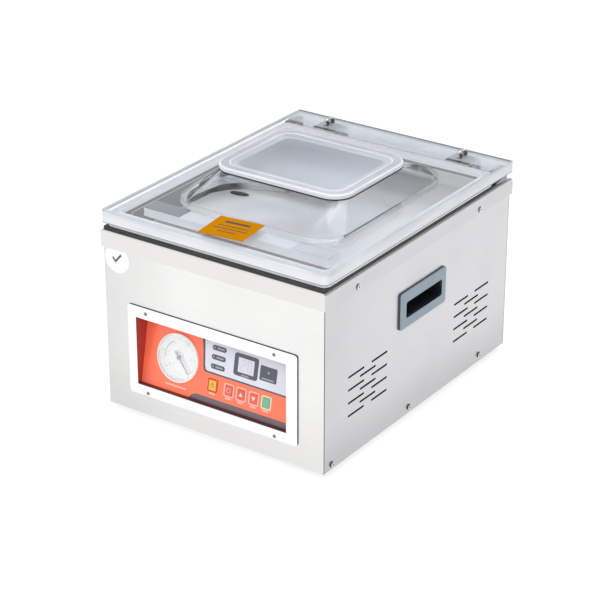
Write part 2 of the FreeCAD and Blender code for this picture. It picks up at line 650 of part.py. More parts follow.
def control_board():
    """Circuit board on four pillars, with a switch behind each key and a few components."""
    top, low = -BOARD_DEPTH, -BOARD_DEPTH - BOARD_T
    left, right, foot, head = -28.0, 104.0, 5.0, 88.0
    board = block(left, right, foot, head, low, top)
    pillars = [
        rod(2.5, (x, up, low), Z_AXIS, -FASCIA_T - low)
        for x in (left + 5, right - 5) for up in (foot + 4, head - 4)
    ]
    switches = [
        panel_plate(at, (6, 6), 0.5, top - 0.2, KEY_BACK - 0.9)
        for at in [(across, KEY_UP) for across in KEYS_ACROSS.values()] + [SELECT_AT]
    ]
    part_w, part_h, part_step = 16.0, 11.0, 30.0
    parts = [
        block(x0, x0 + part_w, 30, 48, low - part_h, low + 0.2)
        for x0 in (left + 8 + part_step * k for k in range(4))
    ]
    return on_panel(joined(board, *pillars, *switches, *parts))


# ---------------------------------------------------------------- lid
def acrylic_lid():
    """Clear lid: a thick plate with a hollow dome and a dished crown above it."""
    corners = [(-LID_X, LID_FRONT, PLATE_CORNER_R), (LID_X, LID_FRONT, PLATE_CORNER_R)]
    corners += [(LID_X, LID_REAR, PLATE_REAR_R), (-LID_X, LID_REAR, PLATE_REAR_R)]
    plate = Part.Face(rounded_wire(corners, lambda a, b: V(a, b, PLATE_Z))).extrude(V(0, 0, PLATE_T))
    plate = plate.makeFillet(1.2, top_edges(plate, LID_TOP))
    top_z = LID_TOP + DOME_H
    neck_z = top_z - CROWN_T

    def crown_ring(inset, radius, z):
        return rect_wire(
            -CROWN_X + inset, CROWN_X - inset, CROWN_FRONT + inset, CROWN_REAR - inset, radius, z
        )

    def dome_ring(inset_x, inset_y, radius, z):
        return rect_wire(
            -DOME_X + inset_x, DOME_X - inset_x, DOME_FRONT + inset_y, DOME_REAR - inset_y, radius, z
        )

    slope = loft(dome_ring(0, 0, 40.0, LID_TOP), crown_ring(2.0, CROWN_R - 2, neck_z))
    crown = Part.Face(crown_ring(0, CROWN_R, neck_z)).extrude(V(0, 0, CROWN_T))
    crown = crown.makeFillet(3.0, top_edges(crown, top_z))
    rise = 0.3
    dish = loft(
        crown_ring(DISH_INSET + DISH_SLOPE, 12.0, top_z - DISH_DEPTH),
        crown_ring(DISH_INSET, 18.0, top_z + rise),
    )
    mouth = dome_ring(*HOLLOW_MOUTH, PLATE_Z)
    bend = dome_ring(*HOLLOW_BEND, PLATE_Z + HOLLOW_BEND_H)
    hollow = loft(mouth, bend).fuse(loft(bend, crown_ring(HOLLOW_TOP, HOLLOW_TOP_R, neck_z - CEILING)))
    bolts = [
        rod(BOLT_R + FIT_GAP, (x, y, PLATE_Z - 1), Z_AXIS, PLATE_T + 2)
        for x in (-HINGE_X, HINGE_X) for y in BOLT_YS
    ]
    return joined(plate, slope, crown).cut(dish).cut(hollow).cut(group(bolts))


def lid_frame():
    """Sealing frame bonded under the lid: it stands on the gasket all round."""
    frame = rounded_plate(-LIP_X, LIP_X, LIP_FRONT, LIP_REAR, 9.0, LIP_Z, PLATE_Z)
    inner_x = PAN_X + 1.0
    return frame.cut(
        rounded_plate(
            -inner_x, inner_x, LIP_FRONT + LIP_FRONT_W, LIP_REAR - LIP_REAR_W, 8.0, LIP_Z - 1, PLATE_Z + 1
        )
    )


def hinge_bracket(side):
    """Fixed half of a hinge: a foot on the deck and two outer knuckles."""
    x = side * HINGE_X
    foot = block(x - HINGE_HALF, x + HINGE_HALF, HINGE_FRONT, FRONT + 412, DECK_Z, DECK_Z + 2)
    parts = []
    for end in (-1, 1):
        x0, x1 = sorted((x + end * (KNUCKLE_HALF + 0.5), x + end * HINGE_HALF))
        parts.append(block(x0, x1, FRONT + 408, PIN_Y, DECK_Z, PIN_Z))
        parts.append(rod(KNUCKLE_R, (x0, PIN_Y, PIN_Z), X_AXIS, x1 - x0))
    bore = rod(PIN_R + FIT_GAP, (x - 20, PIN_Y, PIN_Z), X_AXIS, 40)
    return joined(foot, *parts).cut(bore)


def hinge_leaf(side):
    """Moving half of a hinge: a leaf under the lid's rear strip and a middle knuckle."""
    x, leaf_rear = side * HINGE_X, FRONT + 413.5
    leaf = block(x - HINGE_HALF, x + HINGE_HALF, HINGE_FRONT, leaf_rear, PLATE_Z - LEAF_T, PLATE_Z)
    tongue = block(x - KNUCKLE_HALF, x + KNUCKLE_HALF, leaf_rear - 0.5, PIN_Y, PIN_Z, PLATE_Z)
    knuckle = rod(KNUCKLE_R, (x - KNUCKLE_HALF, PIN_Y, PIN_Z), X_AXIS, 2 * KNUCKLE_HALF)
    bore = rod(PIN_R + FIT_GAP, (x - 20, PIN_Y, PIN_Z), X_AXIS, 40)
    bolts = [rod(BOLT_R + FIT_GAP, (x, y, PLATE_Z - 3), Z_AXIS, 4) for y in BOLT_YS]
    return joined(leaf, tongue, knuckle).cut(group([bore] + bolts))


def hinge_pins():
    pins = []
    head_r, head_l = 3.2, 1.2
    for x in (-HINGE_X, HINGE_X):
        pin = rod(PIN_R, (x - HINGE_HALF, PIN_Y, PIN_Z), X_AXIS, 2 * HINGE_HALF)
        starts = (x - HINGE_HALF - head_l, x + HINGE_HALF)
        pins.append(joined(pin, *(rod(head_r, (x0, PIN_Y, PIN_Z), X_AXIS, head_l) for x0 in starts)))
    return group(pins)


def hinge_bolts():
    bolts = []
    head_r, head_h, beyond = 3.5, 2.8, 4.5
    for x in (-HINGE_X, HINGE_X):
        for y in BOLT_YS:
            leaf_z = PLATE_Z - LEAF_T
            head = rod(head_r, (x, y, leaf_z - head_h), Z_AXIS, head_h)
            shank = rod(BOLT_R, (x, y, leaf_z), Z_AXIS, LEAF_T + PLATE_T + beyond)
            bolts.append(joined(head, shank))
    return group(bolts)


def hinge_cap_nuts():
    """Domed nuts with washers, where the hinge bolts come out of the lid."""
    washer_r, washer_t, nut_w, nut_h, cap_r = 5.4, 0.9, 8.0, 4.4, 3.7
    washer = rod(washer_r, (0, 0, 0), Z_AXIS, washer_t)
    body = hexagon(nut_w, washer_t, washer_t + nut_h)
    cap = Part.makeSphere(cap_r, V(0, 0, washer_t + nut_h - 0.6), Z_AXIS, 0, 90, 360)
    nut = joined(washer, body, cap).cut(rod(BOLT_R + FIT_GAP, (0, 0, -1), Z_AXIS, 6.0))
    return group(placed(nut, (x, y, LID_TOP), Z_AXIS) for x in (-HINGE_X, HINGE_X) for y in BOLT_YS)


def long_edges(shape):
    return [e for e in shape.Edges if e.BoundBox.XLength > HOLDER_X]


def strip_holder():
    holder = block(-HOLDER_X, HOLDER_X, BAR_Y - HOLDER_HALF, BAR_Y + HOLDER_HALF, HOLDER_LOW, HOLDER_TOP)
    holder = holder.makeFillet(1.0, long_edges(holder))
    half_l, half_w = STRIP_X + 0.1, STRIP_HALF + 0.1
    groove = block(-half_l, half_l, BAR_Y - half_w, BAR_Y + half_w, HOLDER_LOW - 1, HOLDER_LOW + GROOVE_H)
    return holder.cut(groove)


def silicone_strip():
    low, high = HOLDER_LOW - STRIP_PROUD, HOLDER_LOW + GROOVE_H
    strip = block(-STRIP_X, STRIP_X, BAR_Y - STRIP_HALF, BAR_Y + STRIP_HALF, low, high)
    return strip.makeFillet(1.0, [e for e in long_edges(strip) if e.BoundBox.ZMax < low + 0.01])


def holder_pads():
    pads, half = [], HOLDER_HALF - 0.5
    for side in (-1, 1):
        x0, x1 = sorted((side * (HOLDER_X - PAD_L), side * HOLDER_X))
        pads.append(block(x0, x1, BAR_Y - half, BAR_Y + half, HOLDER_TOP, PLATE_Z))
    return group(pads)


# ---------------------------------------------------------------- sealing bar
def seal_bar():
    return block(-BAR_X, BAR_X, BAR_Y - BAR_HALF, BAR_Y + BAR_HALF, BAR_LOW, BAR_TOP)


def heating_wire():
    return block(-STRIP_X, STRIP_X, BAR_Y - WIRE_HALF, BAR_Y + WIRE_HALF, BAR_TOP, BAR_TOP + WIRE_T)


def ptfe_tape():
    """Non-stick tape over the heating wire and down both sides of the bar."""
    half = BAR_HALF + TAPE_T
    outer = block(-STRIP_X, STRIP_X, BAR_Y - half, BAR_Y + half, BAR_TOP - TAPE_SIDE_H, TAPE_TOP)
    return outer.cut(block(-200, 200, BAR_Y - BAR_HALF, BAR_Y + BAR_HALF, BAR_LOW, BAR_TOP + WIRE_T))


def lift_pins():
    length = 28.0
    return group(rod(LIFT_PIN_R, (x, BAR_Y, BAR_LOW - length), Z_AXIS, length) for x in (-LIFT_X, LIFT_X))


def lift_cylinders():
    """Two small air cylinders that hang under the pan and push the bar up by its pins."""
    low, high, body_r, wall = PAN_FLOOR_Z - 36.0, PAN_FLOOR_Z - SHEET, 14.0, 3.0
    cylinders = []
    for x in (-LIFT_X, LIFT_X):
        body = rod(body_r, (x, BAR_Y, low), Z_AXIS, high - low)
        spigot = rod(3.0, (x, BAR_Y - body_r - 6, low + 8), Y_AXIS, 10)
        bore = rod(LIFT_PIN_R + FIT_GAP, (x, BAR_Y, low + wall), Z_AXIS, high - low)
        cylinders.append(joined(body, spigot).cut(bore))
    return group(cylinders)


# ---------------------------------------------------------------- works below the chamber
def suction_fitting():
    """Flanged port in the chamber floor, with a stem and a hose barb below it."""
    flange_r, flange_h, stem_h, barb_h = 12.5, 3.0, 14.0, 16.0
    bore_r, mouth_r, mouth_depth = 4.5, 8.5, 4.0

    def along(radius, low, high):
        return rod(radius, (PORT_X, PORT_Y, PAN_FLOOR_Z + low), Z_AXIS, high - low)

    flange = along(flange_r, 0, flange_h)
    flange = flange.makeFillet(1.2, top_edges(flange, PAN_FLOOR_Z + flange_h))
    body = joined(flange, along(PORT_BODY_R, -stem_h, 0), along(BARB_R, -stem_h - barb_h, -stem_h))
    bore = along(bore_r, -stem_h - barb_h - 2, flange_h + 5)
    return body.cut(bore).cut(along(mouth_r, -mouth_depth, flange_h + 3))


def vacuum_hoses():
    """One hose from the chamber down to the valve, and one from the valve to the pump."""
    top = PAN_FLOOR_Z - 14
    down = [(PORT_X, PORT_Y, top), (PORT_X, PORT_Y, top - 52)]
    down += [(PORT_X, VALVE_Y, VALVE_TOP_Z + 52), (PORT_X, VALVE_Y, VALVE_TOP_Z)]
    start = VALVE_Y + VALVE_HALF
    across = rod(HOSE_R, (PORT_X, start, LOW_HOSE_Z), Y_AXIS, PUMP_FRONT - start)
    bore = rod(HOSE_BORE_R, (PORT_X, start - 1, LOW_HOSE_Z), Y_AXIS, PUMP_FRONT - start + 2)
    return group([hollow_tube(down, HOSE_R, HOSE_BORE_R), across.cut(bore)])


def vacuum_valve():
    """Solenoid valve on the base: a square body, two hose barbs and its coil."""
    half, coil_r, coil_l, barb_l = VALVE_HALF, 16.0, 38.0, 16.0
    body = block(
        PORT_X - half, PORT_X + half, VALVE_Y - half, VALVE_Y + half, BASE_Z + SHEET, VALVE_TOP_Z
    )
    top_barb = rod(BARB_R, (PORT_X, VALVE_Y, VALVE_TOP_Z), Z_AXIS, barb_l)
    side_barb = rod(BARB_R, (PORT_X, VALVE_Y + half, LOW_HOSE_Z), Y_AXIS, barb_l)
    coil = rod(coil_r, (PORT_X, VALVE_Y - half, LOW_HOSE_Z), -Y_AXIS, coil_l)
    return joined(body, top_barb, side_barb, coil)


def vacuum_pump():
    """Rotary vane pump: a finned block on four mounts, with a suction barb at the front."""
    rear, groove_w, groove_step = 160.0, 5.0, 12.0
    body = block(PUMP_X0, PUMP_X1, PUMP_FRONT, rear, PUMP_BASE_Z, PUMP_TOP_Z)
    body = body.makeFillet(6.0, [e for e in body.Edges if e.BoundBox.ZLength > 100])
    starts = [PUMP_FRONT + 14 + groove_step * k for k in range(8)]
    grooves = [block(PUMP_X0 - 1, PUMP_X0 + 4, y, y + groove_w, 50, PUMP_TOP_Z - 10) for y in starts]
    barb = rod(BARB_R, (PORT_X, PUMP_FRONT + 1, LOW_HOSE_Z), -Y_AXIS, 17)
    seat = rod(SIGHT_R + FIT_GAP, (SIGHT_X, PUMP_FRONT - 1, SIGHT_Z), Y_AXIS, 3.5)
    return joined(body, barb).cut(group(grooves + [seat]))


def oil_sight_glass():
    return rod(SIGHT_R, (SIGHT_X, PUMP_FRONT - 1.5, SIGHT_Z), Y_AXIS, 4.0)


def exhaust_filter():
    height = 60.0
    can = rod(26.0, (-96, 112, PUMP_TOP_Z), Z_AXIS, height)
    return can.makeFillet(4.0, top_edges(can, PUMP_TOP_Z + height))


def pump_motor():
    """Finned motor in line with the pump, on its own foot, bored for the shaft at its free end."""
    fins, fin_half = [], 1.2
    for k in range(20):
        fin = block(MOTOR_X0 + 8, MOTOR_X1 - 8, -fin_half, fin_half, MOTOR_R - 9, MOTOR_R)
        turned = FreeCAD.Rotation(X_AXIS, 18.0 * k)
        fin.Placement = FreeCAD.Placement(V(0, MOTOR_Y, MOTOR_Z), turned)
        fins.append(fin)
    drum = rod(MOTOR_R - 5, (MOTOR_X0, MOTOR_Y, MOTOR_Z), X_AXIS, MOTOR_X1 - MOTOR_X0)
    foot_half, box_half = 34.0, 22.0
    foot = block(
        MOTOR_X0 + 20, MOTOR_X1 - 20, MOTOR_Y - foot_half, MOTOR_Y + foot_half, PUMP_BASE_Z, MOTOR_Z - 30
    )
    coupling = rod(30.0, (PUMP_X1, MOTOR_Y, MOTOR_Z), X_AXIS, MOTOR_X0 - PUMP_X1)
    box = block(10, 60, MOTOR_Y - box_half, MOTOR_Y + box_half, MOTOR_Z + 40, MOTOR_Z + 66)
    bore = rod(SHAFT_R + FIT_GAP, (MOTOR_X1 - 20, MOTOR_Y, MOTOR_Z), X_AXIS, 30)
    return joined(drum, *fins, foot, coupling, box).cut(bore)


def motor_fan():
    """Cooling fan on the free end of the motor shaft: a hub, a disc and nine flat blades."""
    x0, fan_r, hub_r, count = MOTOR_X1 + 3, 44.0, 12.0, 9
    hub = rod(hub_r, (x0, MOTOR_Y, MOTOR_Z), X_AXIS, 16)
    shaft = rod(SHAFT_R, (MOTOR_X1 - 18, MOTOR_Y, MOTOR_Z), X_AXIS, 38)
    disc = rod(fan_r, (x0, MOTOR_Y, MOTOR_Z), X_AXIS, 2)
    blades = []
    for k in range(count):
        blade = block(x0 + 1, x0 + 14, -1, 1, hub_r - 2, fan_r)
        turned = FreeCAD.Rotation(X_AXIS, 360.0 / count * k)
        blade.Placement = FreeCAD.Placement(V(0, MOTOR_Y, MOTOR_Z), turned)
        blades.append(blade)
    return joined(hub, shaft, disc, *blades)


def pump_mounts():
    """Rubber mounts under the pump and the motor's foot."""
    places = [(x, y) for x in (PUMP_X0 + 12, PUMP_X1 - 12) for y in (52, 148)]
    places += [(x, y) for x in (5, 65) for y in (MOTOR_Y - 24, MOTOR_Y + 24)]
    low = BASE_Z + SHEET
    return group(rod(9.0, (x, y, low), Z_AXIS, PUMP_BASE_Z - low) for x, y in places)


def seal_transformer():
    x0, x1, y0, y1, z0 = 50.0, 126.0, -125.0, -60.0, BASE_Z + SHEET
    inset_x, inset_y = 14.0, 16.0
    core = block(x0, x1, y0 + inset_y, y1 - inset_y, z0, z0 + 66)
    coil = block(x0 + inset_x, x1 - inset_x, y0, y1, z0 + 12, z0 + 54)
    coil = coil.makeFillet(6.0, [e for e in coil.Edges if e.BoundBox.ZLength > 30])
    return joined(core, coil)


def power_inlet():
    """Flanged mains inlet socket with three pins set back from its mouth, and a fuse drawer."""
    flange_y, border = REAR + 2.0, 3.0

    def around(left, right, y0, y1, half_h):
        return block(INLET_X + left, INLET_X + right, y0, y1, INLET_Z - half_h, INLET_Z + half_h)

    flange_half = INLET_HALF_W + border
    flange = around(-flange_half, flange_half, REAR, flange_y, INLET_HALF_H + border)
    flange = flange.makeFillet(1.5, [e for e in flange.Edges if e.BoundBox.YLength > 1.5])
    body = around(-INLET_HALF_W, INLET_HALF_W, REAR - 26, REAR, INLET_HALF_H)
    socket = around(-21, 5, REAR - 15, flange_y + 1, 9)
    pins = []
    for across, up in ((-13.0, -3.0), (-3.0, -3.0), (-8.0, 3.5)):
        x, z = INLET_X + across, INLET_Z + up
        pins.append(block(x - 1, x + 1, REAR - 16, REAR - 6, z - 2.5, z + 2.5))
    groove = around(9, 22, flange_y - 1, flange_y + 1, 10)
    drawer = around(9.8, 21.2, flange_y - 1.5, flange_y - 0.2, 9.2)
    return joined(joined(flange, body).cut(socket).cut(groove), *pins, drawer)


# ---------------------------------------------------------------- write every sub-part
SUB_PARTS = {
    "base_tray": base_tray,
    "front_panel": front_panel,
    "side_panel_left": lambda: side_panel(-1),
    "side_panel_right": lambda: side_panel(1),
    "rear_panel": rear_panel,
    "deck_frame": deck_frame,
    "chamber_pan": chamber_pan,
    "lid_gasket": lid_gasket,
    "rubber_feet": rubber_feet,
    "foot_screws": foot_screws,
    "cabinet_screws": cabinet_screws,
    "handle_left": lambda: handle(-1),
    "handle_right": lambda: handle(1),
    "bezel": bezel,
    "bezel_screws": bezel_screws,
    "control_tray": control_tray,
    "control_fascia": control_fascia,
    "gauge_case": gauge_case,
    "gauge_dial": gauge_dial,
    "gauge_lens": gauge_lens,
    "gauge_needle": gauge_needle,
    "display_frame": display_frame,
    "display_module": display_module,
    "indicator_lamps": indicator_lamps,
    "control_board": control_board,
    "key_select": lambda: key(SELECT_AT, SELECT_SIZE),
    "acrylic_lid": acrylic_lid,
    "lid_frame": lid_frame,
    "hinge_bracket_left": lambda: hinge_bracket(-1),
    "hinge_bracket_right": lambda: hinge_bracket(1),
    "hinge_leaf_left": lambda: hinge_leaf(-1),
    "hinge_leaf_right": lambda: hinge_leaf(1),
    "hinge_pins": hinge_pins,
    "hinge_bolts": hinge_bolts,
    "hinge_cap_nuts": hinge_cap_nuts,
    "strip_holder": strip_holder,
    "silicone_strip": silicone_strip,
    "holder_pads": holder_pads,
    "seal_bar": seal_bar,
    "heating_wire": heating_wire,
    "ptfe_tape": ptfe_tape,
    "lift_pins": lift_pins,
    "lift_cylinders": lift_cylinders,
    "suction_fitting": suction_fitting,
    "vacuum_hoses": vacuum_hoses,
    "vacuum_valve": vacuum_valve,
    "vacuum_pump": vacuum_pump,
    "oil_sight_glass": oil_sight_glass,
    "exhaust_filter": exhaust_filter,
    "pump_motor": pump_motor,
    "motor_fan": motor_fan,
    "pump_mounts": pump_mounts,
    "seal_transformer": seal_transformer,
    "power_inlet": power_inlet,
}
for key_name, key_across in KEYS_ACROSS.items():
    SUB_PARTS[key_name] = lambda across=key_across: key((across, KEY_UP), KEY_SIZE)

for name, make in SUB_PARTS.items():
    shape = make()
    solids = len(shape.Solids)
    if solids == 0 or not shape.isValid():
        raise ValueError(f"{name}: {solids} solids, valid {shape.isValid()}")
    shape.exportStep(f"parts/{name}.step")
    print(f"{name}: {solids} solid(s), {shape.Volume / 1000:.1f} cm3")
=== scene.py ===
import json
import math

import bmesh
import bpy
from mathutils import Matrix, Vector


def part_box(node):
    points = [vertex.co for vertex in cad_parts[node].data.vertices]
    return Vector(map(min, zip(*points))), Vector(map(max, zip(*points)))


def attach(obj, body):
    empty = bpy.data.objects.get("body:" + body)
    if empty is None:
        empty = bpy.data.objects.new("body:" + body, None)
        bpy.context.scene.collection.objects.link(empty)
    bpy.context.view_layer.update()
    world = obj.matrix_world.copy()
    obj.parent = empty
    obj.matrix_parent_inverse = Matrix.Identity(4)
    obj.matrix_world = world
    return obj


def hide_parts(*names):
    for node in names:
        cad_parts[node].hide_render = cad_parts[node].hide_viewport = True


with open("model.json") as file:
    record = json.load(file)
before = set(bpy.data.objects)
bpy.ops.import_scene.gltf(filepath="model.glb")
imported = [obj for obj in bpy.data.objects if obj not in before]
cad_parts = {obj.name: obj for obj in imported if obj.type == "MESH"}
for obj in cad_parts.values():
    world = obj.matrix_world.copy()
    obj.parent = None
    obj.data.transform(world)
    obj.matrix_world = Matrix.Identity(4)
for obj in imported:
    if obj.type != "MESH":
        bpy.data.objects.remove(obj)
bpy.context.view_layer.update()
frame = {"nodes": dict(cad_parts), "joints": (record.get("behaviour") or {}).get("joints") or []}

nodes = frame["nodes"]
MM = 0.001


# ---------------------------------------------------------------- node tree helpers
class Tree:
    """A material under construction: one Principled shader and helpers that feed it."""

    def __init__(self, name):
        self.material = bpy.data.materials.new(name)
        self.material.use_nodes = True
        self.nodes = self.material.node_tree.nodes
        self.links = self.material.node_tree.links
        self.shader = self.nodes["Principled BSDF"]
        self.place = self.nodes.new("ShaderNodeTexCoord").outputs["Object"]

    def set(self, **values):
        for key, value in values.items():
            self.shader.inputs[key.replace("_", " ")].default_value = value
        return self

    def link(self, out, socket):
        self.links.new(out, self.shader.inputs[socket])

    def stretched(self, scale):
        """Object coordinates multiplied by one number, or by three for a direction."""
        node = self.nodes.new("ShaderNodeMapping")
        node.inputs["Scale"].default_value = scale if isinstance(scale, tuple) else (scale,) * 3
        self.links.new(self.place, node.inputs["Vector"])
        return node.outputs["Vector"]

    def noise(self, scale, detail=3.0, rough=0.55):
        node = self.nodes.new("ShaderNodeTexNoise")
        node.inputs["Scale"].default_value = 1.0
        node.inputs["Detail"].default_value = detail
        node.inputs["Roughness"].default_value = rough
        self.links.new(self.stretched(scale), node.inputs["Vector"])
        return node.outputs["Fac"]

    def fit(self, value, low, high, start=0.3, stop=0.7):
        node = self.nodes.new("ShaderNodeMapRange")
        node.inputs["From Min"].default_value = start
        node.inputs["From Max"].default_value = stop
        node.inputs["To Min"].default_value = low
        node.inputs["To Max"].default_value = high
        self.links.new(value, node.inputs["Value"])
        return node.outputs["Result"]

    def mixed(self, value, dark, light, start=0.3, stop=0.7):
        node = self.nodes.new("ShaderNodeMix")
        node.data_type = "RGBA"
        self.links.new(self.fit(value, 0, 1, start, stop), node.inputs["Factor"])
        node.inputs["A"].default_value = (*dark, 1)
        node.inputs["B"].default_value = (*light, 1)
        return node.outputs["Result"]

    def faded(self, colour, axis, start, stop, tone):
        """A colour that is darker by a factor before start, along one axis, and full after stop."""
        parts = self.nodes.new("ShaderNodeSeparateXYZ")
        self.links.new(self.place, parts.inputs["Vector"])
        node = self.nodes.new("ShaderNodeMix")
        node.data_type = "RGBA"
        node.blend_type = "MULTIPLY"
        node.inputs["Factor"].default_value = 1.0
        ramp = self.fit(parts.outputs[axis.upper()], tone, 1.0, start, stop)
        ramp.node.interpolation_type = "SMOOTHSTEP"
        self.links.new(colour, node.inputs["A"])
        self.links.new(ramp, node.inputs["B"])
        return node.outputs["Result"]

    def bump(self, value, depth, strength=1.0):
        node = self.nodes.new("ShaderNodeBump")
        node.inputs["Strength"].default_value = strength
        node.inputs["Distance"].default_value = depth
        self.links.new(value, node.inputs["Height"])
        if self.shader.inputs["Normal"].is_linked:
            self.links.new(self.shader.inputs["Normal"].links[0].from_socket, node.inputs["Normal"])
        self.link(node.outputs["Normal"], "Normal")


def toned(colour, factor):
    return tuple(min(1.0, c * factor) for c in colour)


# ---------------------------------------------------------------- materials
def brushed(name, colour, rough, along, metallic=1.0, depth=0.00002, fades=(), glow=0.0):
    """Sheet steel with fine grain along one axis and cloudy roughness; fades paint shade that darkens it
    along an axis, and glow paints light on it.
    """
    tree = Tree(name).set(Metallic=metallic)
    scale = tuple(22.0 if axis == along else 1800.0 for axis in "xyz")
    grain = tree.noise(scale, 4.0, 0.6)
    tone = tree.mixed(grain, toned(colour, 0.965), toned(colour, 1.02))
    for fade in fades:
        tone = tree.faded(tone, *fade)
    tree.link(tone, "Base Color")
    tree.set(Emission_Strength=glow)
    tree.link(tone, "Emission Color")
    clouds = tree.noise(14.0, 4.0)
    tree.link(tree.fit(clouds, rough * 0.85, rough * 1.2), "Roughness")
    tree.bump(grain, depth, 0.35)
    return tree.material


def moulded(name, colour, rough, grain_size=0.0006, depth=0.00003, coat=0.0, glow=0.0, gloss=0.5,
            fades=()):
    """Moulded plastic or rubber: fine grain, slight tone and gloss variation; fades paint shade that darkens
    it along an axis, and glow paints light on it.
    """
    tree = Tree(name).set(Coat_Weight=coat, Coat_Roughness=0.08, Specular_IOR_Level=gloss)
    tone = tree.mixed(tree.noise(30.0, 3.0), toned(colour, 0.93), toned(colour, 1.05))
    for fade in fades:
        tone = tree.faded(tone, *fade)
    tree.set(Emission_Strength=glow)
    tree.link(tone, "Base Color")
    tree.link(tone, "Emission Color")
    tree.link(tree.fit(tree.noise(60.0, 4.0), rough * 0.85, rough * 1.15), "Roughness")
    tree.bump(tree.noise(1.0 / grain_size, 2.0), depth, 0.6)
    return tree.material


def polished(name, colour, rough=0.12, metallic=1.0):
    """Bright metal with hairline scratches."""
    tree = Tree(name).set(Metallic=metallic)
    marks = tree.noise((300.0, 40.0, 300.0), 5.0)
    tree.link(tree.mixed(marks, toned(colour, 0.92), toned(colour, 1.04)), "Base Color")
    tree.link(tree.fit(marks, rough * 0.7, rough * 1.5), "Roughness")
    tree.bump(marks, 0.00001, 0.3)
    return tree.material


def clear(name, colour, rough, ior=1.49, alpha=1.0):
    """Clear acrylic or glass with faint wipe marks in its gloss."""
    tree = Tree(name).set(Transmission_Weight=1.0, IOR=ior, Base_Color=(*colour, 1), Alpha=alpha)
    tree.link(tree.fit(tree.noise((18.0, 40.0, 18.0), 4.0), rough * 0.4, rough * 1.8), "Roughness")
    return tree.material


def frosted(name, colour, through=0.22, rough=0.5, glow=0.0, grain=None, fades=()):
    """Machined acrylic: light passes but scatters, more in some saw marks than in others; fades paint shade
    along an axis, and glow paints light on it.
    """
    tree = Tree(name).set(Transmission_Weight=through, IOR=1.49, Roughness=rough)
    tree.set(Emission_Color=(*colour, 1), Emission_Strength=glow)
    tone = tree.noise(grain or (14.0, 14.0, 800.0), 4.0)
    tone = tree.mixed(tone, toned(colour, 0.84), toned(colour, 1.05))
    for fade in fades:
        tone = tree.faded(tone, *fade)
    tree.link(tone, "Base Color")
    tree.bump(tree.noise(700.0, 3.0), 0.00004, 0.5)
    return tree.material


def glowing(name, colour, strength):
    tree = Tree(name).set(Roughness=0.4, Emission_Strength=strength, Emission_Color=(*colour, 1))
    tree.link(tree.mixed(tree.noise(400.0), toned(colour, 0.9), colour), "Base Color")
    return tree.material


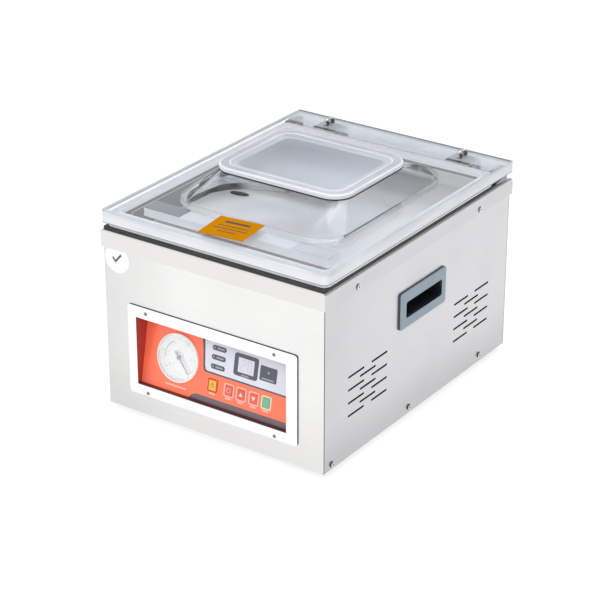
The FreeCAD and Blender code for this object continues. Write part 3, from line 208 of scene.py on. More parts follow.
STEEL = (0.65, 0.65, 0.66)
# painted shade: the front darker towards its left and its bottom, the sides darker towards their bottom and
# their front
FRONT_SHADE = (("x", -0.17, -0.03, 0.86), ("z", 0.0, 0.12, 0.93))
SIDE_SHADE = (("z", 0.0, 0.075, 0.84), ("y", -0.22, -0.08, 0.95))
# painted shade in the pan: darker beside its left wall and towards its rear; the left wall itself near black
# towards the front
PAN_SHADE = (("x", -0.150, -0.138, 0.30), ("x", -0.148, -0.09, 0.88), ("y", 0.13, 0.03, 0.66))
WALL_SHADE = (("y", 0.045, 0.095, 0.04),)
# painted shade on the crown's dish, darker to the left and the rear, and on the plate's margin, darker to the
# rear
DISH_SHADE = (("x", -0.09, 0.06, 0.88), ("y", 0.06, -0.08, 0.90))
REAR_SHADE = (("y", 0.16, -0.19, 0.88),)
# painted shade on the fascia's left strip, beside the tray's wall
FASCIA_SHADE = (("x", -0.108, -0.092, 0.78),)
M = {
    "front": brushed("front_steel", (0.83, 0.83, 0.825), 0.36, "x", fades=FRONT_SHADE),
    # the side and rear panels get a darker copy of the front's steel: painted shade
    "side": brushed("side_steel", STEEL, 0.34, "y", fades=SIDE_SHADE),
    "base": brushed("base_steel", STEEL, 0.36, "x"),
    "deck": brushed("deck_steel", (0.765, 0.75, 0.73), 0.33, "x"),
    # the deck's top and side faces get darker copies of its steel: painted shade
    "deck_top": brushed("deck_top_steel", (0.55, 0.56, 0.60), 0.12, "x"),
    "deck_side": brushed("deck_side_steel", (0.61, 0.61, 0.62), 0.33, "y"),
    # near black on the panels' inner faces: painted shade inside the cabinet
    "inside": moulded("inner_face_shade", (0.025, 0.025, 0.027), 0.7),
    # the pan's steel glows a little: painted light; its left wall gets a darker copy: painted shade
    "pan": brushed("pan_steel", (0.93, 0.93, 0.925), 0.34, "y", 0.45, 0.00001, PAN_SHADE, 0.2),
    "pan_wall": brushed("pan_wall_steel", (0.80, 0.80, 0.80), 0.4, "y", 0.4, 0.00001, WALL_SHADE, 0.12),
    "hinge": brushed("hinge_steel", (0.93, 0.94, 0.96), 0.28, "x", 0.5),
    "screw": polished("screw_steel", (0.80, 0.80, 0.81), 0.12),
    # dark metal on the sides of the cabinet screw heads: painted shade
    "screw_rim_shade": polished("screw_rim_shade", (0.10, 0.10, 0.11), 0.25),
    "chrome": polished("nut_chrome", (0.66, 0.65, 0.65), 0.07),
    "nut_shade": polished("nut_shade", (0.15, 0.145, 0.145), 0.2),
    "bezel_screw": polished("bezel_screw", (0.28, 0.27, 0.28), 0.2),
    "alu": brushed("bar_aluminium", (0.82, 0.83, 0.84), 0.38, "x"),
    "alloy": brushed("heater_alloy", (0.5, 0.49, 0.47), 0.4, "x"),
    "acrylic": clear("acrylic", (0.925, 0.95, 0.985), 0.025),
    "haze": frosted("acrylic_haze", (0.58, 0.64, 0.73), 0.5, 0.3, grain=9.0, fades=DISH_SHADE),
    # the dish's slope is a lighter copy of the dish: painted light
    "dish_slope": frosted("acrylic_dish_slope", (0.72, 0.77, 0.86), 0.5, 0.3),
    # the crown's side and its glint bands glow: painted highlights
    "crown_side": frosted("acrylic_crown_side", (0.86, 0.87, 0.94), 0.3, 0.5, 0.16),
    "glint": frosted("acrylic_glint", (0.90, 0.92, 0.98), 0.15, 0.4, 0.07),
    # a darker band on the crown's top: painted shade
    "dusk": frosted("acrylic_dusk", (0.69, 0.70, 0.78), 0.4, 0.4),
    "margin": frosted("acrylic_margin", (0.68, 0.74, 0.82), 0.5, 0.3, fades=REAR_SHADE),
    # near black round the crown's foot: partly its joint with the dome, partly painted shade under the
    # crown's overhang
    "joint_shade": frosted("acrylic_joint_shade", (0.025, 0.028, 0.034), 0.1, 0.7),
    # grey lines at the dome's foot and along the plate's lower edge: painted shade
    "shade_line": frosted("acrylic_shade_line", (0.36, 0.38, 0.44), 0.3),
    # a bright glowing line at the dish's edge: painted highlight
    "rim": frosted("acrylic_rim_highlight", (0.94, 0.96, 1.0), 0.2, 0.3, 0.12),
    # milky cut edges of the plate, with a faint glow: painted light
    "frost": frosted("acrylic_frost", (0.88, 0.895, 0.95), glow=0.05),
    "streak": frosted("acrylic_streak", (0.92, 0.94, 1.0), 0.3),
    # the milky sealing frame glows: painted light
    "seal": frosted("frame_frost", (0.93, 0.935, 0.97), 0.22, 0.5, 0.2),
    # a dark strip along the plate's far edge: painted shade
    "far_edge": frosted("acrylic_far_edge", (0.20, 0.21, 0.24), 0.3, 0.3),
    "glass": clear("gauge_glass", (1.0, 1.0, 1.0), 0.02, 1.5, 0.35),
    "gasket": moulded("gasket_rubber", (0.028, 0.027, 0.026), 0.6, 0.0009),
    "port": moulded("port_black", (0.006, 0.006, 0.008), 0.6, gloss=0.1),
    # lighter grey on the black gasket's rear stretch: painted light
    "gasket_rear_painted_light": moulded("gasket_rear_painted_light", (0.36, 0.38, 0.40), 0.6, 0.0009),
    "foot": moulded("foot_rubber", (0.02, 0.02, 0.02), 0.65, 0.0009),
    "handle": moulded("handle_plastic", (0.27, 0.34, 0.40), 0.42, 0.0007),
    # near black inside the handle pockets: painted shade
    "pocket": moulded("pocket_plastic", (0.012, 0.017, 0.022), 0.5, 0.0007),
    "bezel": moulded("bezel_plastic", (0.95, 0.95, 0.95), 0.25, 0.001, 0.00001, 0.4),
    # near black for shaded edges and gaps: painted shade
    "edge": moulded("shadow_edge", (0.055, 0.062, 0.07), 0.45),
    # darker red on the tray's walls: painted shade
    "tray": moulded("tray_red", (0.42, 0.045, 0.03), 0.3, 0.0009, 0.00001, 0.3),
    # the fascia glows: painted light
    "fascia": moulded("fascia_red", (0.93, 0.15, 0.072), 0.36, 0.0005, 0.00001, 0.25, 0.32,
                      fades=FASCIA_SHADE),
    "zone": moulded("print_grey_blue", (0.74, 0.78, 0.88), 0.36, 0.0005, 0.00001, 0.25),
    "slate": moulded("print_slate", (0.085, 0.096, 0.125), 0.36, 0.0005, 0.00001, 0.25),
    "band": moulded("print_band", (0.18, 0.125, 0.15), 0.36, 0.0005, 0.00001, 0.25),
    # dark brown: print on the band's fold, and painted shade on the tray's upward faces
    "brown": moulded("dark_brown_print_and_shade", (0.10, 0.03, 0.035), 0.4, 0.0005, 0.00001),
    "pale": moulded("print_pale", (0.97, 0.66, 0.58), 0.4, 0.0005, 0.00001),
    "pink": moulded("print_pink", (0.97, 0.54, 0.46), 0.4, 0.0005, 0.00001),
    "grey": moulded("print_grey", (0.36, 0.39, 0.43), 0.4, 0.0005, 0.00001),
    "shell": moulded("gauge_shell", (0.90, 0.86, 0.85), 0.3, 0.001, 0.00001, 0.3),
    # the dial glows though it is no lamp: painted light
    "dial": glowing("dial_face", (0.92, 0.945, 0.95), 0.10),
    "needle": moulded("needle_paint", (0.36, 0.37, 0.39), 0.35),
    "mark": moulded("mark_grey", (0.55, 0.57, 0.58), 0.5),
    "mark_green": moulded("mark_green", (0.42, 0.52, 0.49), 0.5),
    "mark_red": moulded("mark_red", (0.80, 0.66, 0.68), 0.5),
    "display": glowing("display_face", (0.27, 0.315, 0.325), 0.03),
    "digits": glowing("display_digits", (0.62, 0.67, 0.71), 0.04),
    # the right foam pad: a lighter, glowing copy of the foam, painted light
    "pad_painted_light": moulded("pad_foam_painted_light", (0.66, 0.69, 0.75), 0.7, 0.0012, 0.0001, glow=0.2),
    "lamp": glowing("lamp", (0.40, 0.42, 0.46), 0.05),
    "board": moulded("circuit_board", (0.03, 0.20, 0.09), 0.4),
    "key_orange": moulded("key_orange", (0.93, 0.47, 0.08), 0.4),
    "key_rim": moulded("key_orange_rim", (0.36, 0.08, 0.01), 0.4),
    "key_red": moulded("key_red", (0.80, 0.13, 0.09), 0.4),
    "key_green": moulded("key_green", (0.15, 0.50, 0.27), 0.4),
    "cream": moulded("print_cream", (0.93, 0.72, 0.55), 0.4, 0.0005, 0.00001),
    # the holder glows: painted light
    "holder": moulded("holder_white", (0.86, 0.88, 0.93), 0.45, glow=0.16),
    "silicone": moulded("silicone", (0.50, 0.06, 0.05), 0.5),
    # the left foam pad: a darker copy of the foam, painted shade
    "pad_shaded": moulded("pad_foam", (0.205, 0.225, 0.28), 0.7, 0.0012, 0.0001, glow=0.02),
    "ptfe": moulded("ptfe_tape", (0.70, 0.64, 0.57), 0.5, 0.0006, 0.00006),
    "black": moulded("black_plastic", (0.012, 0.013, 0.016), 0.35),
    "hose": moulded("hose_vinyl", (0.70, 0.74, 0.74), 0.3),
    "brass": polished("valve_brass", (0.75, 0.55, 0.28), 0.25),
    "iron": moulded("pump_casting", (0.10, 0.16, 0.26), 0.45, 0.0015, 0.0002),
    "paint": moulded("motor_paint", (0.07, 0.08, 0.09), 0.4, 0.0015, 0.00008),
    "core": moulded("transformer_core", (0.16, 0.13, 0.10), 0.5),
    "label": moulded("label_orange", (0.55, 0.215, 0.003), 0.8, gloss=0.0),
    "ink": moulded("label_ink", (0.07, 0.035, 0.008), 0.5),
    "sticker": moulded("sticker_white", (0.95, 0.95, 0.95), 0.35),
}

FINISH = {
    "front": ["front_panel"],
    "side": ["side_panel_left", "side_panel_right", "rear_panel"],
    "base": ["base_tray"],
    "deck": ["deck_frame"],
    "pan": ["chamber_pan"],
    "hinge": ["hinge_bracket_left", "hinge_bracket_right", "hinge_leaf_left", "hinge_leaf_right",
              "hinge_pins", "lift_pins"],
    "screw": ["cabinet_screws", "foot_screws", "hinge_bolts"],
    "bezel_screw": ["bezel_screws"],
    "chrome": ["hinge_cap_nuts"],
    "alu": ["seal_bar", "lift_cylinders"],
    "alloy": ["heating_wire"],
    "glass": ["gauge_lens", "oil_sight_glass"],
    "gasket": ["lid_gasket", "pump_mounts"],
    "foot": ["rubber_feet"],
    "handle": ["handle_left", "handle_right"],
    "bezel": ["bezel"],
    "tray": ["control_tray"],
    "fascia": ["control_fascia"],
    "shell": ["gauge_case"],
    "dial": ["gauge_dial"],
    "needle": ["gauge_needle"],
    "slate": ["display_frame", "key_select"],
    "display": ["display_module"],
    "lamp": ["indicator_lamps"],
    "board": ["control_board"],
    "key_orange": ["key_power"],
    "key_red": ["key_stop", "key_up", "key_down"],
    "key_green": ["key_start"],
    "holder": ["strip_holder"],
    "silicone": ["silicone_strip"],
    "pad_shaded": ["holder_pads"],
    "ptfe": ["ptfe_tape"],
    "black": ["power_inlet", "motor_fan"],
    "port": ["suction_fitting"],
    "hose": ["vacuum_hoses"],
    "brass": ["vacuum_valve"],
    "iron": ["vacuum_pump"],
    "paint": ["pump_motor", "exhaust_filter"],
    "core": ["seal_transformer"],
}
for finish, names in FINISH.items():
    for node in names:
        mesh = nodes[node].data
        mesh.materials.clear()
        mesh.materials.append(M[finish])


def painted(node, finishes, choose):
    """Give each face of a node one of several finishes; choose gets its centre and normal."""
    mesh = nodes[node].data
    for finish in finishes:
        mesh.materials.append(M[finish])
    for polygon in mesh.polygons:
        polygon.material_index = choose(polygon.center, polygon.normal)


flange_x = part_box("side_panel_right")[1][0]
WALL_X, REAR_Y = -0.1465, 0.188         # start of the pan's left wall and of the gasket's rear stretch
NUT_SHADE = Vector((0.57, -0.82, 0))    # level direction of the nut flats that get a painted dark reflection
# the handles' pockets and flange edges get near-black finishes: painted shade
for node in ("handle_left", "handle_right"):
    painted(node, ["pocket", "edge"], lambda at, normal: (
        1 if abs(at.x) < flange_x + 0.4 * MM else 2 if abs(normal.x) < 0.35 else 0
    ))
# painted shade on the deck's side and top faces
painted("deck_frame", ["deck_side", "deck_top"], lambda at, normal: (
    1 if abs(normal.x) > 0.6 else 2 if normal.z > 0.9 else 0
))
# the inner faces of the side, base, front and rear panels get the near-black finish: painted shade
for node in ("side_panel_left", "side_panel_right"):
    painted(node, ["inside"], lambda at, normal: 1 if normal.x * at.x < 0.5 * abs(at.x) else 0)
for node, inward in (("base_tray", Vector((0, 0, 1))), ("front_panel", Vector((0, 1, 0))),
                     ("rear_panel", Vector((0, -1, 0)))):
    painted(node, ["inside"], lambda at, normal: 1 if normal.dot(inward) > 0.5 else 0)
# flats facing that way get a painted dark reflection in the chrome
painted("hinge_cap_nuts", ["nut_shade"], lambda at, normal: (
    1 if abs(normal.z) < 0.7 and NUT_SHADE.dot(normal) > 0.86 else 0
))
# the pan's left wall gets the darker copy of its steel: painted shade
painted("chamber_pan", ["pan_wall"], lambda at, normal: (
    1 if at.x < WALL_X and abs(normal.z) < 0.95 else 0
))
# the gasket's rear stretch gets the lighter grey: painted light
painted("lid_gasket", ["gasket_rear_painted_light"], lambda at, normal: 1 if at.y > REAR_Y else 0)
# painted shade round the cabinet screw heads
painted("cabinet_screws", ["screw_rim_shade"], lambda at, normal: 1 if abs(normal.x) < 0.75 else 0)
# painted shade on the bezel's side faces
painted("bezel", ["edge"], lambda at, normal: 1 if abs(normal.y) < 0.5 else 0)
# the tray's upward faces get the dark brown: painted shade
painted("control_tray", ["brown"], lambda at, normal: 1 if normal.z > 0.5 else 0)


# ---------------------------------------------------------------- mesh helpers
def made(name, mesh, material, body):
    """A finished piece from a bmesh, riding on a body."""
    data = bpy.data.meshes.new(name)
    bmesh.ops.recalc_face_normals(mesh, faces=mesh.faces)
    mesh.to_mesh(data)
    mesh.free()
    piece = bpy.data.objects.new(name, data)
    bpy.context.scene.collection.objects.link(piece)
    for one in material if isinstance(material, list) else [material]:
        data.materials.append(M[one])
    if body:
        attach(piece, body)
    return piece


def arc_points(centre, radius, start, stop, count):
    """Points of an arc, both ends included; angles in radians."""
    step = (stop - start) / count
    angles = [start + step * k for k in range(count + 1)]
    return [(centre[0] + radius * math.cos(a), centre[1] + radius * math.sin(a)) for a in angles]


def round_rect(x0, x1, y0, y1, low_r, high_r=None, arc=10):
    """Outline of a rectangle, its low-y and high-y corners with their own radii."""
    high_r = low_r if high_r is None else high_r
    corners = [
        ((x1 - low_r, y0 + low_r), low_r, -90), ((x1 - high_r, y1 - high_r), high_r, 0),
        ((x0 + high_r, y1 - high_r), high_r, 90), ((x0 + low_r, y0 + low_r), low_r, 180),
    ]
    outline = []
    for centre, radius, start in corners:
        outline += arc_points(centre, radius, math.radians(start), math.radians(start + 90), arc)
    return outline


def level(a, b, height):
    """A point of an outline that lies level and is already in metres."""
    return Vector((a, b, height))


def prism(mesh, outline, to_world, low, high):
    """A closed prism on a flat outline; to_world turns (a, b, height) into a point."""
    bottom = [mesh.verts.new(to_world(a, b, low)) for a, b in outline]
    top = [mesh.verts.new(to_world(a, b, high)) for a, b in outline]
    mesh.faces.new(bottom)
    mesh.faces.new(top)
    count = len(outline)
    for i in range(count):
        j = (i + 1) % count
        mesh.faces.new((bottom[i], bottom[j], top[j], top[i]))


def frame_prism(mesh, outer, inner, to_world, low, high):
    """A closed ring between two outlines with the same number of points."""
    loops = []
    for outline, height in ((outer, low), (outer, high), (inner, high), (inner, low)):
        loops.append([mesh.verts.new(to_world(a, b, height)) for a, b in outline])
    count = len(outer)
    for k in range(4):
        one, two = loops[k], loops[(k + 1) % 4]
        for i in range(count):
            j = (i + 1) % count
            mesh.faces.new((one[i], one[j], two[j], two[i]))


# ---------------------------------------------------------------- the lid
PLATE_T, CROWN_T = 15 * MM, 6.7 * MM
CROWN_X, CROWN_FRONT, CROWN_REAR = 97, 133, 291.5
RING_ARC = 14               # steps in each corner of the lid's outlines
DOME_R, FRAME_CORNER_R = 40, 8 * MM
FRAME_SIDE_W, FRAME_FRONT_W, FRAME_REAR_W = 10.2 * MM, 14.4 * MM, 12 * MM
SKIN = 0.02                 # mm between a printed or laid-on piece and the face below it


def lid_pieces():
    """Clear plate with its hollow dome and dished crown, and the milky sealing frame below it."""
    lo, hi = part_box("acrylic_lid")
    plate_low, crown_top = lo[2], hi[2]
    plate_top = plate_low + PLATE_T
    neck = crown_top - CROWN_T
    front, rear = lo[1], hi[1]
    half, depth = hi[0] / MM, (rear - front) / MM
    mesh = bmesh.new()

    def ring(x_half, y_front, y_rear, front_r, rear_r, z):
        """One ring of points, measured in mm from the middle and from the lid's front edge."""
        outline = round_rect(
            -x_half * MM, x_half * MM, front + y_front * MM, front + y_rear * MM, front_r * MM, rear_r * MM,
            arc=RING_ARC,
        )
        return [mesh.verts.new((a, b, z)) for a, b in outline]

    def crown(inset, radius, z):
        """A ring of the crown's outline, set in by some mm."""
        return ring(CROWN_X - inset, CROWN_FRONT + inset, CROWN_REAR - inset, radius, radius, z)

    # among these finishes, the crown's bright bands are painted highlights, and its darker band and dark
    # lines painted shade
    # each ring, with the finish of the faces between it and the next one
    steps = [
        (crown(22, 12, crown_top - 2.5 * MM), "dish_slope"),
        (crown(13, 18, crown_top), "rim"),
        (crown(11.6, 19, crown_top), "dusk"),
        (crown(2.4, 25, crown_top), "glint"),
        (crown(0.6, 26.5, crown_top - 0.6 * MM), "glint"),
        (crown(0, 27, crown_top - 1.6 * MM), "crown_side"),
        (crown(0, 27, neck + 1.2 * MM), "joint_shade"),
        (crown(0, 27, neck - 0.9 * MM), "joint_shade"),
        (crown(2, 25, neck - 0.9 * MM), "acrylic"),
        (ring(120, 77, 347, DOME_R, DOME_R, plate_top), "shade_line"),
        (ring(120.7, 76.3, 347.7, 40.5, 40.5, plate_top), "acrylic"),
        (ring(162, 6.6, 387, 8, 2, plate_top), "margin"),
        (ring(half, 0, depth, 9, 2, plate_top), "streak"),
        (ring(half, 0, depth, 9, 2, plate_top - 5 * MM), "frost"),
        (ring(half, 0, depth, 9, 2, plate_low + 1.4 * MM), "shade_line"),
        (ring(half, 0, depth, 9, 2, plate_low), "acrylic"),
        (ring(118, 74, 350, 38, 38, plate_low), "acrylic"),
        (ring(111, 83, 341, 33, 33, plate_low + 12 * MM), "acrylic"),
        (crown(7, 21, neck - 3.5 * MM), "acrylic"),
    ]
    rings = [one for one, _ in steps]
    finishes = ["acrylic", "frost", "haze", "rim", "margin", "joint_shade", "streak", "dish_slope",
                "crown_side", "glint", "shade_line", "dusk"]
    mesh.faces.new(rings[0]).material_index = finishes.index("haze")
    mesh.faces.new(rings[-1])
    for (one, finish), two in zip(steps, rings[1:]):
        for i in range(len(one)):
            j = (i + 1) % len(one)
            mesh.faces.new((one[i], one[j], two[j], two[i])).material_index = finishes.index(finish)
    lid = made("clear_lid", mesh, finishes, "lid")
    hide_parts("acrylic_lid")
    bevelled(lid, 1.1)

    # a dark strip on the plate's far edge: painted shade
    mesh = bmesh.new()
    far_x, far_start, far_end = half - 2, depth - 5.2, depth - 1.2
    far = [(-far_x, far_start), (far_x, far_start), (far_x, far_end), (-far_x, far_end)]
    prism(mesh, far, lambda a, b, h: Vector((a * MM, front + b * MM, plate_top + h * MM)), SKIN, 0.06)
    made("lid_far_edge", mesh, "far_edge", "lid")

    frame_lo, frame_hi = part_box("lid_frame")
    x, y0, y1 = frame_hi[0], frame_lo[1], frame_hi[1]
    inner_x, inner_front, inner_rear = x - FRAME_SIDE_W, y0 + FRAME_FRONT_W, y1 - FRAME_REAR_W
    mesh = bmesh.new()
    frame_prism(
        mesh, round_rect(-x, x, y0, y1, 9 * MM, arc=RING_ARC),
        round_rect(-inner_x, inner_x, inner_front, inner_rear, FRAME_CORNER_R, arc=RING_ARC),
        level, frame_lo[2], frame_hi[2] - 0.05 * MM,
    )
    frame_piece = made("sealing_frame", mesh, "seal", "lid")
    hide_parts("lid_frame")
    bevelled(frame_piece, 0.8)


def bevelled(piece, width):
    """Round the sharp edges of a piece by a width in mm, and shade it smoothly."""
    bevel = piece.modifiers.new("edges", "BEVEL")
    bevel.width = width * MM
    bevel.segments = 3
    bevel.limit_method = "ANGLE"
    bevel.angle_limit = math.radians(28)
    bevel.harden_normals = True
    piece.data.shade_smooth()


lid_pieces()


def holder_pads():
    """Two foam pads on the strip holder, a hair below the plate they press on."""
    lo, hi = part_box("holder_pads")
    length, corner_r = 54 * MM, 1.5 * MM
    mesh = bmesh.new()
    for x0, x1 in ((lo[0], lo[0] + length), (hi[0] - length, hi[0])):
        outline = round_rect(x0, x1, lo[1], hi[1], corner_r)
        prism(mesh, outline, level, lo[2] + SKIN * MM, hi[2] - 0.1 * MM)
    pads = made("foam_pads", mesh, ["pad_shaded", "pad_painted_light"], "lid")
    # the right pad gets the painted light copy of the foam, the left the painted shade copy
    for polygon in pads.data.polygons:
        polygon.material_index = 1 if polygon.center.x > 0 else 0
    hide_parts("holder_pads")
    bevelled(pads, 0.3)


holder_pads()


# ---------------------------------------------------------------- control panel prints
turn = next(j for j in frame["joints"] if j["name"] == "gauge_needle_turn")
NORMAL = Vector(turn["axis"]).normalized()
ACROSS = Vector((1, 0, 0))
UP = NORMAL.cross(ACROSS)
GAUGE_CENTRE = Vector(turn["pos_m"])
GAUGE_UP = 45.4 * MM        # from the fascia's foot to the needle's axis
FOOT = GAUGE_CENTRE - UP * GAUGE_UP
FOOT.x = 0.0


def panel_point(a, b, height):
    """A point on the tilted panel: mm across, mm up and mm out of its face."""
    return FOOT + ACROSS * (a * MM) + UP * (b * MM) + NORMAL * (height * MM)


def face_of(node):
    """(across, up, height) in mm of the middle of a control's outer face."""
    points = [Vector(v.co) - FOOT for v in nodes[node].data.vertices]
    spans = []
    for axis in (ACROSS, UP, NORMAL):
        along = [p.dot(axis) / MM for p in points]
        spans.append((min(along), max(along)))
    return (sum(spans[0]) / 2, sum(spans[1]) / 2, spans[2][1])


PRINT_T = 0.12              # mm, like every thickness on the panel


def printed(name, outlines, material, low=SKIN):
    """Thin printed areas on the panel, one piece for all the outlines."""
    mesh = bmesh.new()
    for outline in outlines:
        prism(mesh, outline, panel_point, low, low + PRINT_T)
    made(name, mesh, material, "cabinet")


def outlined(name, rects, width, material):
    """Thin rounded frames; each rectangle is (x0, x1, y0, y1, radius)."""
    mesh, low = bmesh.new(), 0.05
    for x0, x1, y0, y1, radius in rects:
        outer = round_rect(x0, x1, y0, y1, radius)
        inner = round_rect(x0 + width, x1 - width, y0 + width, y1 - width, max(radius - width, 0.2))
        frame_prism(mesh, outer, inner, panel_point, low, low + PRINT_T)
    made(name, mesh, material, "cabinet")


# the window's right edge and top, and the pale zone with its curved left edge: mm across and mm up
WIN_X1, WIN_TOP = 109.4, 93.6
zone_edge = [(-20.5, 38.6), (WIN_X1, 38.6), (WIN_X1, WIN_TOP), (-32.5, WIN_TOP), (-29.8, 80), (-27.0, 66),
             (-25.6, 54), (-24.4, 44), (-23.4, 40.2)]
zone = [(-18.0, 40.9), (WIN_X1, 40.9), (WIN_X1, WIN_TOP), (-26.6, WIN_TOP), (-25.4, 80), (-23.8, 66),
        (-22.6, 54), (-21.6, 45.5), (-20.4, 42.2)]
printed("panel_zone_edge", [zone_edge], "slate")
printed("panel_zone", [zone], "zone", 0.1)
band_x, band_top = -42.0, 7.9
band = [(band_x, 0.2), (WIN_X1, 0.2), (WIN_X1, band_top), (band_x + 12, band_top)]
band += [(band_x + 8, band_top - 1.0), (band_x + 4, band_top - 3.2)]
printed("panel_band", [band], "band")

pills, dots = [], []
for up in (72.8, 60.9, 48.9):
    pills.append(round_rect(-13.4, 7.4, up - 3.2, up + 3.2, 2.8))
    dots.append(round_rect(-6.2, 4.4, up - 1.1, up + 1.1, 0.5))
printed("lamp_plates", pills, "slate", 0.2)
printed("lamp_dashes", dots, "grey", 0.3)

KEYS = ("key_power", "key_stop", "key_up", "key_down", "key_start")
KEY_X, KEY_UP, KEY_R = 7.5, 8.6, 2.4        # half width, half height and corner of a key's frame
key_frames, key_dashes = {}, []
for key in KEYS:
    a, b, _ = face_of(key)
    key_frames[key] = (a - KEY_X, a + KEY_X, b - KEY_UP, b + KEY_UP, KEY_R)
    key_dashes.append(round_rect(a - 4.2, a + 4.2, b - 11.6, b - 9.6, 0.5))
outlined("key_frames", [key_frames[key] for key in KEYS[1:4]], 1.7, "pink")
outlined("start_frame", [key_frames["key_start"]], 1.8, "cream")
outlined("power_frame", [key_frames["key_power"]], 1.6, "key_rim")
printed("key_dashes", key_dashes, "pink")
gauge_a, gauge_b, _ = face_of("gauge_dial")
printed("gauge_dashes", [round_rect(gauge_a - 16, gauge_a + 16, 7.5, 9.3, 0.4)], "pink")
a, b, height = face_of("display_frame")
printed("display_dash", [round_rect(a - 5.5, a + 5.5, b - 12.9, b - 11.2, 0.4)], "grey", height + 0.01)


# ---------------------------------------------------------------- key symbols
def ring_outline(a, b, radius, count=28):
    return arc_points((a, b), radius, 0, 2 * math.pi * (count - 1) / count, count - 1)


def symbol(key, material, outlines=(), rings=()):
    """A printed symbol on a key's face, moving with the key."""
    a, b, height = face_of(key)
    mesh = bmesh.new()
    low, high = height + 0.01, height + 0.09
    for outline in outlines:
        prism(mesh, [(a + x, b + y) for x, y in outline], panel_point, low, high)
    for radius, width in rings:
        outer, inner = ring_outline(a, b, radius), ring_outline(a, b, radius - width)
        frame_prism(mesh, outer, inner, panel_point, low, high)
    made(key + "_symbol", mesh, material, key + "_cap")


up_arrow = [(-3.0, -2.4), (3.0, -2.4), (0, 3.0)]
symbol("key_up", "pale", [up_arrow])
symbol("key_down", "pale", [[(x, -y) for x, y in up_arrow]])
symbol("key_stop", "pink", rings=[(3.2, 0.6)])
symbol("key_start", "mark_green", rings=[(3.0, 0.5)])
symbol("key_power", "key_rim", [[(-0.3, 0.4), (0.3, 0.4), (0.3, 3.6), (-0.3, 3.6)]], [(2.6, 0.5)])
select_bar = [(-9, -7.2), (9, -7.2), (9, -5.4), (-9, -5.4)]
symbol("key_select", "grey", [ring_outline(0.4, 2.2, 1.5), select_bar])


# ---------------------------------------------------------------- gauge dial
def gauge_dial_marks():
    """Scale of a vacuum gauge: arcs, ticks and plain numbers round the dial."""
    _, _, height = face_of("gauge_dial")
    low, high = height + 0.02, height + 0.1
    start, sweep = math.radians(-48), math.radians(270)

    def band_piece(name, radius, width, first, last, material):
        mesh = bmesh.new()
        a0, a1 = start + sweep * first, start + sweep * last
        outer = arc_points((gauge_a, gauge_b), radius, a0, a1, 24)
        inner = arc_points((gauge_a, gauge_b), radius - width, a1, a0, 24)
        prism(mesh, outer + inner, panel_point, low, high)
        made(name, mesh, material, "cabinet")

    band_piece("dial_green_arc", 21.5, 1.3, 0.62, 0.88, "mark_green")
    band_piece("dial_red_arc", 23.5, 0.9, 0.30, 0.56, "mark_red")
    mesh = bmesh.new()
    steps, outer = 50, 25.6
    for k in range(steps + 1):
        angle = start + sweep * k / steps
        major = k % 10 == 0
        inner = 21.6 if major else 24.4 if k % 5 else 23.4
        half = 0.35 if major else 0.14
        along = Vector((math.cos(angle), math.sin(angle)))
        side = Vector((-along.y, along.x)) * half
        middle = Vector((gauge_a, gauge_b))
        corners = [middle + along * inner - side, middle + along * outer - side,
                   middle + along * outer + side, middle + along * inner + side]
        prism(mesh, [(p.x, p.y) for p in corners], panel_point, low, high)
    made("dial_ticks", mesh, "mark", "cabinet")
    for k in range(6):
        angle = start + sweep * k / 5
        a = gauge_a + 17.8 * math.cos(angle)
        b = gauge_b + 17.8 * math.sin(angle)
        number("dial_number_%d" % k, str(k * 2), a, b, 4.0, high, "mark", "cabinet")


def number(name, text, a, b, size, height, material, body):
    """A plain number as flat mesh, centred on the panel."""
    curve = bpy.data.curves.new(name, "FONT")
    curve.body = text
    curve.size = size * MM
    curve.align_x = "CENTER"
    curve.align_y = "CENTER"
    curve.extrude = 0.03 * MM
    holder = bpy.data.objects.new(name + "_text", curve)
    bpy.context.scene.collection.objects.link(holder)
    bpy.context.view_layer.update()
    data = bpy.data.meshes.new_from_object(holder.evaluated_get(bpy.context.evaluated_depsgraph_get()))
    bpy.data.objects.remove(holder)
    for vertex in data.vertices:
        x, y, z = vertex.co
        vertex.co = panel_point(a + x / MM, b + y / MM, height + z / MM)
    piece = bpy.data.objects.new(name, data)
    bpy.context.scene.collection.objects.link(piece)
    data.materials.clear()
    data.materials.append(M[material])
    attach(piece, body)


gauge_dial_marks()


# ---------------------------------------------------------------- display digits
SEGMENTS = {
    "a": ((-1, 2), (1, 2)), "b": ((1, 2), (1, 0)), "c": ((1, 0), (1, -2)), "d": ((-1, -2), (1, -2)),
    "e": ((-1, 0), (-1, -2)), "f": ((-1, 2), (-1, 0)), "g": ((-1, 0), (1, 0)),
}
DIGITS = {"2": "abged", "0": "abcdef"}


def display_digits():
    a0, b0, height = face_of("display_module")
    mesh = bmesh.new()
    step_x, step_y, half = 2.6, 3.1, 0.62
    for place, digit in zip((-4.9, 4.9), "20"):
        for segment in DIGITS[digit]:
            (xa, ya), (xb, yb) = SEGMENTS[segment]
            pa = Vector((a0 + place + xa * step_x, b0 + ya * step_y))
            pb = Vector((a0 + place + xb * step_x, b0 + yb * step_y))
            along = (pb - pa).normalized()
            side = Vector((-along.y, along.x)) * half
            pa, pb = pa + along * 0.75, pb - along * 0.75
            hexagon = [pa - along * half, pa - side, pb - side, pb + along * half, pb + side, pa + side]
            prism(mesh, [(p.x, p.y) for p in hexagon], panel_point, height + 0.01, height + 0.1)
    made("display_digits", mesh, "digits", "cabinet")


display_digits()


# ---------------------------------------------------------------- labels
lid_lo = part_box("acrylic_lid")[0]
lid_top = lid_lo[2] + PLATE_T
LABEL_X, LABEL_Y, LABEL_R = 30.8, 27.7, 1
LABEL_AT, LABEL_TURN = (-0.0012, lid_lo[1] + 46.5 * MM), math.radians(6)


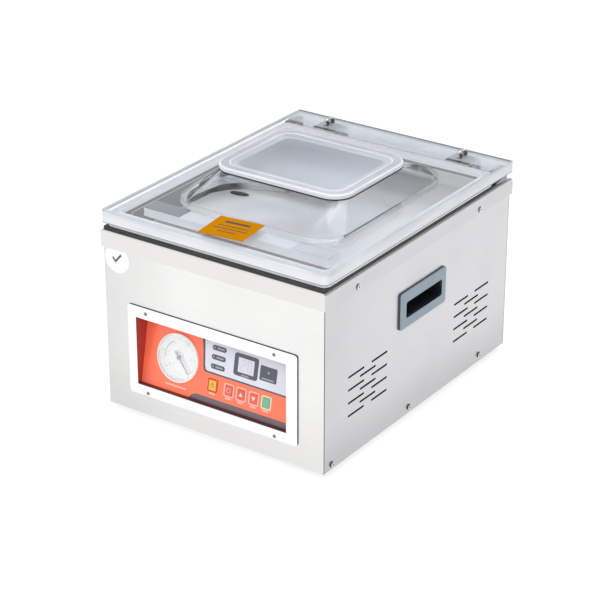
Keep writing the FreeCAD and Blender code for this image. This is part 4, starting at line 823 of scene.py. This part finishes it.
def on_label(outline):
    """Outline in mm about the label's middle, turned with it and put on the lid."""
    c, s = math.cos(LABEL_TURN), math.sin(LABEL_TURN)
    return [(LABEL_AT[0] + (x * c - y * s) * MM, LABEL_AT[1] + (x * s + y * c) * MM) for x, y in outline]


label_outline = on_label(round_rect(-LABEL_X, LABEL_X, -LABEL_Y, LABEL_Y, LABEL_R))
label_z = lid_top + SKIN * MM
mesh = bmesh.new()
prism(mesh, label_outline, level, label_z, label_z + PRINT_T * MM)
made("lid_label", mesh, "label", "lid")
mesh = bmesh.new()
for row, half, height in ((15, 17, 2.6), (4, 21, 1.0), (-4, 24, 1.0), (-12, 12, 1.0)):
    bar = on_label(round_rect(-half, half, row - height, row + height, 0.4))
    prism(mesh, bar, level, lid_top + 0.15 * MM, lid_top + 0.2 * MM)
made("lid_label_bars", mesh, "ink", "lid")

front_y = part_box("front_panel")[0][1]
STICKER_AT, STICKER_R = (-0.1425, 0.2105), 18.5


def on_front(a, b, height):
    """A point on the front panel: mm from the sticker's middle, and mm out of the panel."""
    return Vector((STICKER_AT[0] + a * MM, front_y - height * MM, STICKER_AT[1] + b * MM))


mesh = bmesh.new()
prism(mesh, ring_outline(0, 0, STICKER_R, 48), on_front, SKIN, 0.14)
made("round_sticker", mesh, "sticker", "cabinet")
mesh = bmesh.new()
tick = [(-7.5, 0.5), (-5.6, 2.6), (-2.2, -1.2), (6.0, 8.0), (8.0, 6.0), (-2.2, -5.4)]
prism(mesh, tick, on_front, 0.15, 0.2)
made("round_sticker_tick", mesh, "slate", "cabinet")

corner_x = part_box("side_panel_right")[1][0]
seam_low, seam_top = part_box("side_panel_right")[0][2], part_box("deck_frame")[0][2]
seam_y = front_y + 1.6 * MM
# a dark strip where the front and side panels meet: painted shade in their seam
mesh = bmesh.new()
seam = [(front_y, seam_low), (seam_y, seam_low), (seam_y, seam_top), (front_y, seam_top)]
prism(mesh, seam, lambda a, b, h: Vector((corner_x + h * MM, a, b)), 0.0, 0.06)
made("front_seam_shade", mesh, "edge", "cabinet")

bezel_lo, bezel_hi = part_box("bezel")


def in_bezel(low, high, radius):
    """Rounded outline set in from the bezel's low and high edges, in mm."""
    return round_rect(
        bezel_lo[0] + low * MM, bezel_hi[0] - high * MM, bezel_lo[2] + low * MM, bezel_hi[2] - high * MM,
        radius * MM,
    )


# a dark frame showing past the bezel's top and right edges: painted shade
mesh = bmesh.new()
seal, inner = in_bezel(2, -0.8, 4), in_bezel(6, 4, 2)
frame_prism(mesh, seal, inner, lambda a, b, h: Vector((a, front_y - h * MM, b)), 0.0, 0.5)
made("bezel_shadow_gap", mesh, "edge", "cabinet")

mesh = bmesh.new()
fold_z, fold_y = FOOT.z + 0.05 * MM, front_y + 0.1 * MM
fold_x0, fold_x1 = band_x * MM, WIN_X1 * MM
fold = [(fold_x0, fold_y), (fold_x1, fold_y), (fold_x1, FOOT.y), (fold_x0, FOOT.y)]
prism(mesh, fold, lambda a, b, h: Vector((a, b, fold_z + h * MM)), 0.0, 0.1)
made("band_fold", mesh, "brown", "cabinet")


# ---------------------------------------------------------------- stage, light and camera
def stage():
    """A wide pale floor."""
    mesh = bmesh.new()
    size = 6.0
    for x, y in ((-size, -size), (size, -size), (size, size), (-size, size)):
        mesh.verts.new((x, y, 0))
    mesh.faces.new(mesh.verts)
    tree = Tree("floor_paper").set(Roughness=0.9, Emission_Strength=0.68, Emission_Color=(1, 1, 1, 1))
    tree.link(tree.mixed(tree.noise(3.0), (0.38, 0.38, 0.38), (0.41, 0.41, 0.41)), "Base Color")
    M["floor"] = tree.material
    made("floor", mesh, "floor", None)


def area_light(name, place, aim, size, power):
    lamp = bpy.data.lights.new(name, "AREA")
    lamp.shape = "RECTANGLE"
    lamp.size, lamp.size_y = size
    lamp.energy = power
    holder = bpy.data.objects.new(name, lamp)
    holder.location = place
    holder.rotation_mode = "QUATERNION"
    holder.rotation_quaternion = (Vector(aim) - Vector(place)).to_track_quat("-Z", "Y")
    bpy.context.scene.collection.objects.link(holder)


def studio():
    """A white sky that is dimmer near the floor and to the right, with two large soft lights."""
    world = bpy.data.worlds.new("studio")
    world.use_nodes = True
    tree = world.node_tree
    place = tree.nodes.new("ShaderNodeTexCoord").outputs["Generated"]
    parts = tree.nodes.new("ShaderNodeSeparateXYZ")
    tree.links.new(place, parts.inputs["Vector"])

    def ramp(out, start, stop, low, high):
        node = tree.nodes.new("ShaderNodeMapRange")
        node.interpolation_type = "SMOOTHSTEP"
        for key, value in (("From Min", start), ("From Max", stop), ("To Min", low), ("To Max", high)):
            node.inputs[key].default_value = value
        tree.links.new(out, node.inputs["Value"])
        return node.outputs["Result"]

    def times(one, two):
        node = tree.nodes.new("ShaderNodeMath")
        node.operation = "MULTIPLY"
        tree.links.new(one, node.inputs[0])
        tree.links.new(two, node.inputs[1])
        return node.outputs[0]

    def flag(direction, start, stop, low):
        """A soft-edged dim patch of sky in one direction."""
        node = tree.nodes.new("ShaderNodeVectorMath")
        node.operation = "DOT_PRODUCT"
        node.inputs[1].default_value = Vector(direction).normalized()
        tree.links.new(place, node.inputs[0])
        return ramp(node.outputs["Value"], start, stop, 1.0, low)

    horizon = ramp(parts.outputs["Z"], 0.02, 0.22, 0.35, 1.0)
    right = ramp(parts.outputs["X"], 0.2, 0.95, 1.0, 0.72)
    behind = flag((0.51, 0.74, 0.43), 0.90, 0.98, 0.25)
    above = flag((-0.514, 0.172, 0.838), 0.94, 0.985, 0.2)
    strength = times(times(times(horizon, right), behind), above)
    tree.links.new(strength, tree.nodes["Background"].inputs["Strength"])
    tree.nodes["Background"].inputs["Color"].default_value = (1, 1, 1, 1)
    bpy.context.scene.world = world
    area_light("key", (0.3, -1.9, 1.5), (0, 0, 0.15), (1.6, 1.2), 9)
    area_light("top", (0.2, 0.6, 2.2), (0, 0, 0.2), (1.8, 1.4), 12)
    settings = bpy.context.scene.view_settings
    settings.view_transform = "Standard"


SENSOR, LENS = 36.0, 128.6
AZIMUTH, ELEVATION, DISTANCE = 34.69, 25.43, 2.720
TARGET = Vector((-0.0032, -0.0226, 0.1185))


def camera():
    """From the front right and above, at the distance its perspective asks for."""
    data = bpy.data.cameras.new("camera")
    data.sensor_width = SENSOR
    data.lens = LENS
    holder = bpy.data.objects.new("camera", data)
    bpy.context.scene.collection.objects.link(holder)
    azimuth, elevation = math.radians(AZIMUTH), math.radians(ELEVATION)
    back = Vector((
        math.sin(azimuth) * math.cos(elevation), -math.cos(azimuth) * math.cos(elevation), math.sin(elevation)
    ))
    holder.rotation_mode = "QUATERNION"
    holder.location = TARGET + back * DISTANCE
    holder.rotation_quaternion = (-back).to_track_quat("-Z", "Y")
    bpy.context.scene.camera = holder


stage()
studio()
camera()
